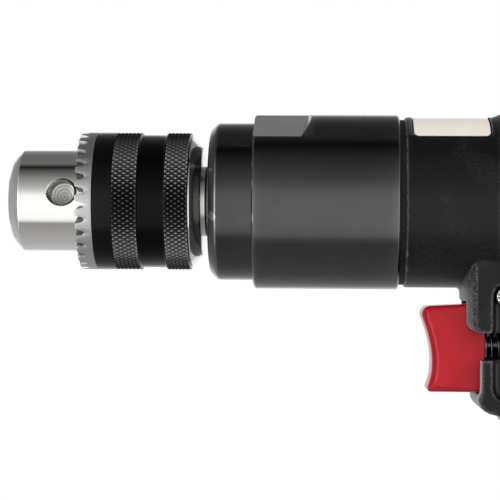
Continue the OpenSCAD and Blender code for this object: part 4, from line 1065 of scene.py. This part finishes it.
# %% Name plate and side badges
name_plate = solid("name_plate_sheet", patch(plate_rows(0.0, PLATE_R), PLATE_R - PLATE_THICK, PLATE_R))
break_edges(name_plate, 0.08, angle=60.0)
settle(name_plate, "housing", "name_plate", "name_plate")
BADGE_THICK = 0.4
BADGES = (("left_badge_sheet", "badge_plate_left", 1.0), ("right_badge_sheet", "badge_plate_right", -1.0))
for name, node, side in BADGES:
    sheet = patch(badge_rows(0.0, REAR_R, side), BADGE_FLOOR, BADGE_FLOOR + BADGE_THICK, columns=40)
    badge = solid(name, sheet)
    break_edges(badge, 0.12, angle=60.0)
    settle(badge, "housing", slot_of[node], node)

# %% [markdown]
# ## Trigger and spring
#
# The trigger is a moulded block with a hollow front for the finger and wide soft edges, which give the bright
# line that runs down beside its front. It slides on a stem. Mirrored rays pass it by, because the housing
# beside it shows no red in the photograph.

# %% Trigger
TRIGGER_X, TRIGGER_TOP, TRIGGER_HIGH = 101.2, -25.4, 20.9
TRIGGER_BACK = 116.3
TOP_RISE, HOLLOW_AT = 0.7, 0.63
TRIGGER_HALF, FRONT_SOFT, EDGE_SOFT = 8.0, 2.4, 1.4
TRIGGER_LOW = TRIGGER_TOP - TRIGGER_HIGH
side = [(TRIGGER_BACK, TRIGGER_LOW), (TRIGGER_BACK, TRIGGER_TOP + TOP_RISE)]
side += bezier(
    (TRIGGER_X + 2.2, TRIGGER_TOP), (TRIGGER_X + 0.1, TRIGGER_TOP - 0.1), (TRIGGER_X, TRIGGER_TOP - 2.2), 8)
side += bezier(
    (TRIGGER_X + 0.05, TRIGGER_TOP - 2.6), (TRIGGER_X + 4.2, TRIGGER_TOP - HOLLOW_AT * TRIGGER_HIGH),
    (TRIGGER_X + 1.4, TRIGGER_LOW + 1.2), 28)
side += bezier(
    (TRIGGER_X + 1.35, TRIGGER_LOW + 0.9), (TRIGGER_X + 1.4, TRIGGER_LOW), (TRIGGER_X + 2.4, TRIGGER_LOW), 6)


def step_in(depth, r):
    """How far a quarter round of radius r has drawn in at a depth from the side face."""
    return r - math.sqrt(max(0.0, r * r - max(0.0, r - depth) ** 2))


def pillow(outline, half, front_r, edge_r):
    """An outline in X and Z drawn out along Y, with one radius for its front and one for its edges."""
    count = len(outline)
    shares = [1.0 - math.sin(math.radians(a)) for a in range(0, 91, 9)]
    depths = sorted({round(r * share, 4) for r in (front_r, edge_r) for share in shares})
    stations = [(-half + d, d) for d in depths] + [(half - d, d) for d in reversed(depths)]
    verts = []
    for y, depth in stations:
        for i, (x, z) in enumerate(outline):
            ahead, behind = Vector(outline[(i + 1) % count]), Vector(outline[i - 1])
            along = (ahead - behind).normalized()
            facing = Vector((along.y, -along.x))
            from_end = min(outline[1][1] - z, z - outline[0][1])
            leading = max(0.0, -facing.x) * min(1.0, from_end / front_r)
            verts.append((
                x - facing.x * (step_in(depth, front_r) * leading),
                y,
                z - facing.y * step_in(depth, edge_r)))
    faces = [tuple(range(count)), tuple(range(len(verts) - 1, len(verts) - count - 1, -1))]
    return verts, faces + weave(len(stations), count)


trigger = solid("trigger_moulding", pillow(side, TRIGGER_HALF, FRONT_SOFT, EDGE_SOFT))
carve(trigger, [bored("stem_hole", 108.3, 118.0, 2.0, STEM)])
settle(trigger, "trigger", "red_trigger", "trigger", sharp=45.0)
trigger.visible_glossy = False

# %% [markdown]
# A coil spring on the stem pushes the trigger out again. It is squeezed as the trigger comes back.


# %% Trigger spring
def coil(x0, x1, r, wire, turns, per_turn=28, sides=10):
    """A wire wound about the X axis, with a flat turn at each end."""
    count = turns * per_turn
    verts = []
    for step in range(count + 1):
        share = step / count
        x = x0 + wire / 2 + (x1 - x0 - wire) * (0.5 - 0.5 * math.cos(math.pi * share)) * END_REST
        x += (x1 - x0 - wire) * share * (1.0 - END_REST)
        a = 2.0 * math.pi * turns * share
        outward = Vector((0.0, math.cos(a), math.sin(a)))
        for k in range(sides):
            b = 2.0 * math.pi * k / sides
            at = outward * (r + wire / 2 * math.cos(b)) + Vector((x + wire / 2 * math.sin(b), 0.0, 0.0))
            verts.append(tuple(at))
    ends = [tuple(range(sides)), tuple(count * sides + k for k in reversed(range(sides)))]
    return verts, weave(count + 1, sides) + ends


END_REST = 0.35
SPRING_X = (116.35, 126.0)
SPRING_R, SPRING_WIRE, SPRING_TURNS = 2.8, 0.6, 6
spring = solid("trigger_spring_coil", coil(*SPRING_X, SPRING_R, SPRING_WIRE, SPRING_TURNS), STEM)
settle(spring, "housing", "spring_steel", "trigger_spring", sharp=60.0)
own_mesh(spring)

# %% [markdown]
# Behind the throttle valve sits the second return spring. The trigger's stem pushes the valve back as far as
# the trigger itself moves, so this coil is squeezed by the same travel, towards its seat behind the valve.

# %% Throttle spring
VALVE_SPRING_X = size_of("throttle_spring", 0)
VALVE_SPRING_OUT = size_of("throttle_spring", 1)[1]
VALVE_WIRE, VALVE_TURNS = 0.5, 5
valve_spring = solid("throttle_spring_coil", coil(
    *VALVE_SPRING_X, VALVE_SPRING_OUT - VALVE_WIRE / 2, VALVE_WIRE, VALVE_TURNS), STEM)
settle(valve_spring, "housing", "spring_steel", "throttle_spring", sharp=60.0)
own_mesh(valve_spring)

# %% [markdown]
# ## Reversing lever
#
# A flat bright lever lies in the side pocket, held by a screw with a slotted, slightly domed head.
# Short grooves across its tip give the thumb a grip.

# %% Lever and screw
LEVER_TIP = (120.75, -22.95)
LEVER_HUB_R, LEVER_TIP_R = 4.4, 2.2
LEVER_Y = (-14.4, -11.8)
GROOVE_RISES, GROOVE_WIDE, GROOVE_DEEP = (-1.35, -0.45, 0.45, 1.35), 0.42, 0.4
lever_outline = arc(*PIVOT, LEVER_HUB_R, [math.pi * (step / 16.0 - 0.5) for step in range(17)])
lever_outline += arc(*LEVER_TIP, LEVER_TIP_R, [math.pi * (step / 12.0 + 0.5) for step in range(13)])
lever = solid("reverse_lever_flat", prism(lever_outline, "Y", *LEVER_Y))
break_edges(lever, 0.45, angle=50.0, segments=3)
grooves = []
for rise in GROOVE_RISES:
    z, face = LEVER_TIP[1] + rise, LEVER_Y[0]
    vee = [(face - 0.2, z - GROOVE_WIDE), (face + GROOVE_DEEP, z), (face - 0.2, z + GROOVE_WIDE)]
    grooves.append(solid("thumb_groove", prism(vee, "X", 117.0, LEVER_TIP[0] + 2.5)))
carve(lever, grooves)
settle(lever, "reverse", "machined_steel", "reverse_lever", sharp=30.0)

SLOT_HALF = 0.4
AT_PIVOT = moved((PIVOT[0], LEVER_Y[0], PIVOT[1]), -math.pi / 2, "Z")
head = solid("lever_screw_head", lathe([
    (-2.4, 0.0), (-2.4, 1.25), (-0.02, 1.25), (-0.02, 3.3), (0.75, 3.3, 0.35), (1.2, 2.2, 0.6), (1.2, 0.0),
], turns=64), AT_PIVOT)
driver_slot = [(-SLOT_HALF, -5.0), (SLOT_HALF, -5.0), (SLOT_HALF, 5.0), (-SLOT_HALF, 5.0)]
carve(head, [solid("driver_slot", prism(driver_slot, "X", 0.55, 3.0), AT_PIVOT)])
settle(head, "reverse", "machined_steel", "lever_screw")

# %% [markdown]
# ## Inlet and exhaust
#
# Below the grip a black deflector with a row of slots turns about the inlet bush, so the used air can be sent
# away from the hand.

# %% Exhaust deflector
RING_Z = (-92.1, -82.1)
SLOT_STEP = 16.0
ring = solid("exhaust_deflector_cap", lathe([
    (RING_Z[0], 7.65, 0.2), (RING_Z[0], 14.5, 1.2), (RING_Z[1], 14.5, 0.5), (RING_Z[1], 12.5, 0.2),
    (RING_Z[0] + 2.0, 12.5), (RING_Z[0] + 2.0, 7.65),
], turns=128), DOWN_GRIP)
slots = []
for step in range(-3, 4):
    about = GRIP @ Matrix.Rotation(math.radians(SLOT_STEP * step), 4, "Z")
    slots.append(solid("slot", prism(round_box(-1.0, -88.1, 1.0, -84.1, 0.9), "X", 10.0, 20.0), about))
carve(ring, slots)
break_edges(ring, 0.15, angle=50.0)
settle(ring, "deflector", slot_of["exhaust_deflector"], "exhaust_deflector")

# %% [markdown]
# The bush ends in a chamfered hexagon with a threaded mouth. The thread is a stack of fine V rings here: a
# true helix would not show at this size.

# %% Inlet bush
HEX_FLAT, HEX_Z = 18.0, (-100.2, -92.2)
THREAD_R, THREAD_LEN, THREAD_PITCH = 5.6, 11.0, 1.4
corner_r = HEX_FLAT / math.sqrt(3.0)
hexagon = arc(0.0, 0.0, corner_r, [math.pi / 3 * k for k in range(6)])
bush = solid("inlet_bush_hex", prism(hexagon, "Z", *HEX_Z), GRIP)
chamfer = solid("hex_chamfer", lathe([
    (HEX_Z[0], 0.0), (HEX_Z[0], 8.7), (HEX_Z[0] + 1.1, 10.6), (HEX_Z[1] - 0.9, 10.6), (HEX_Z[1], 9.0),
    (HEX_Z[1], 0.0),
], turns=96), DOWN_GRIP)
carve(bush, [chamfer], "INTERSECT")
body = solid("bush_body", lathe([
    (-93.0, 0.0), (-93.0, 7.6), (-82.0, 7.6), (-82.0, 7.99), (-68.0, 7.99), (-68.0, 0.0),
], turns=96), DOWN_GRIP)
carve(bush, [body], "UNION")
mouth = [(HEX_Z[0] - 1.0, 0.0), (HEX_Z[0] - 1.0, THREAD_R + 1.2), (HEX_Z[0] + 0.9, THREAD_R)]
for ridge in range(int((THREAD_LEN - 1.5) / THREAD_PITCH)):
    start = HEX_Z[0] + 0.9 + ridge * THREAD_PITCH
    mouth += [(start + THREAD_PITCH / 2, THREAD_R + 0.55), (start + THREAD_PITCH, THREAD_R)]
strainer_end = HEX_Z[0] + THREAD_LEN + 1.3
mouth += [(HEX_Z[0] + THREAD_LEN, THREAD_R), (HEX_Z[0] + THREAD_LEN, 5.3), (strainer_end, 5.3)]
mouth += [(strainer_end, 4.6), (-60.0, 4.6), (-60.0, 0.0)]
carve(bush, [solid("threaded_mouth", lathe(mouth, turns=96), DOWN_GRIP)])
settle(bush, "housing", slot_of["inlet_bush"], "inlet_bush", sharp=25.0)
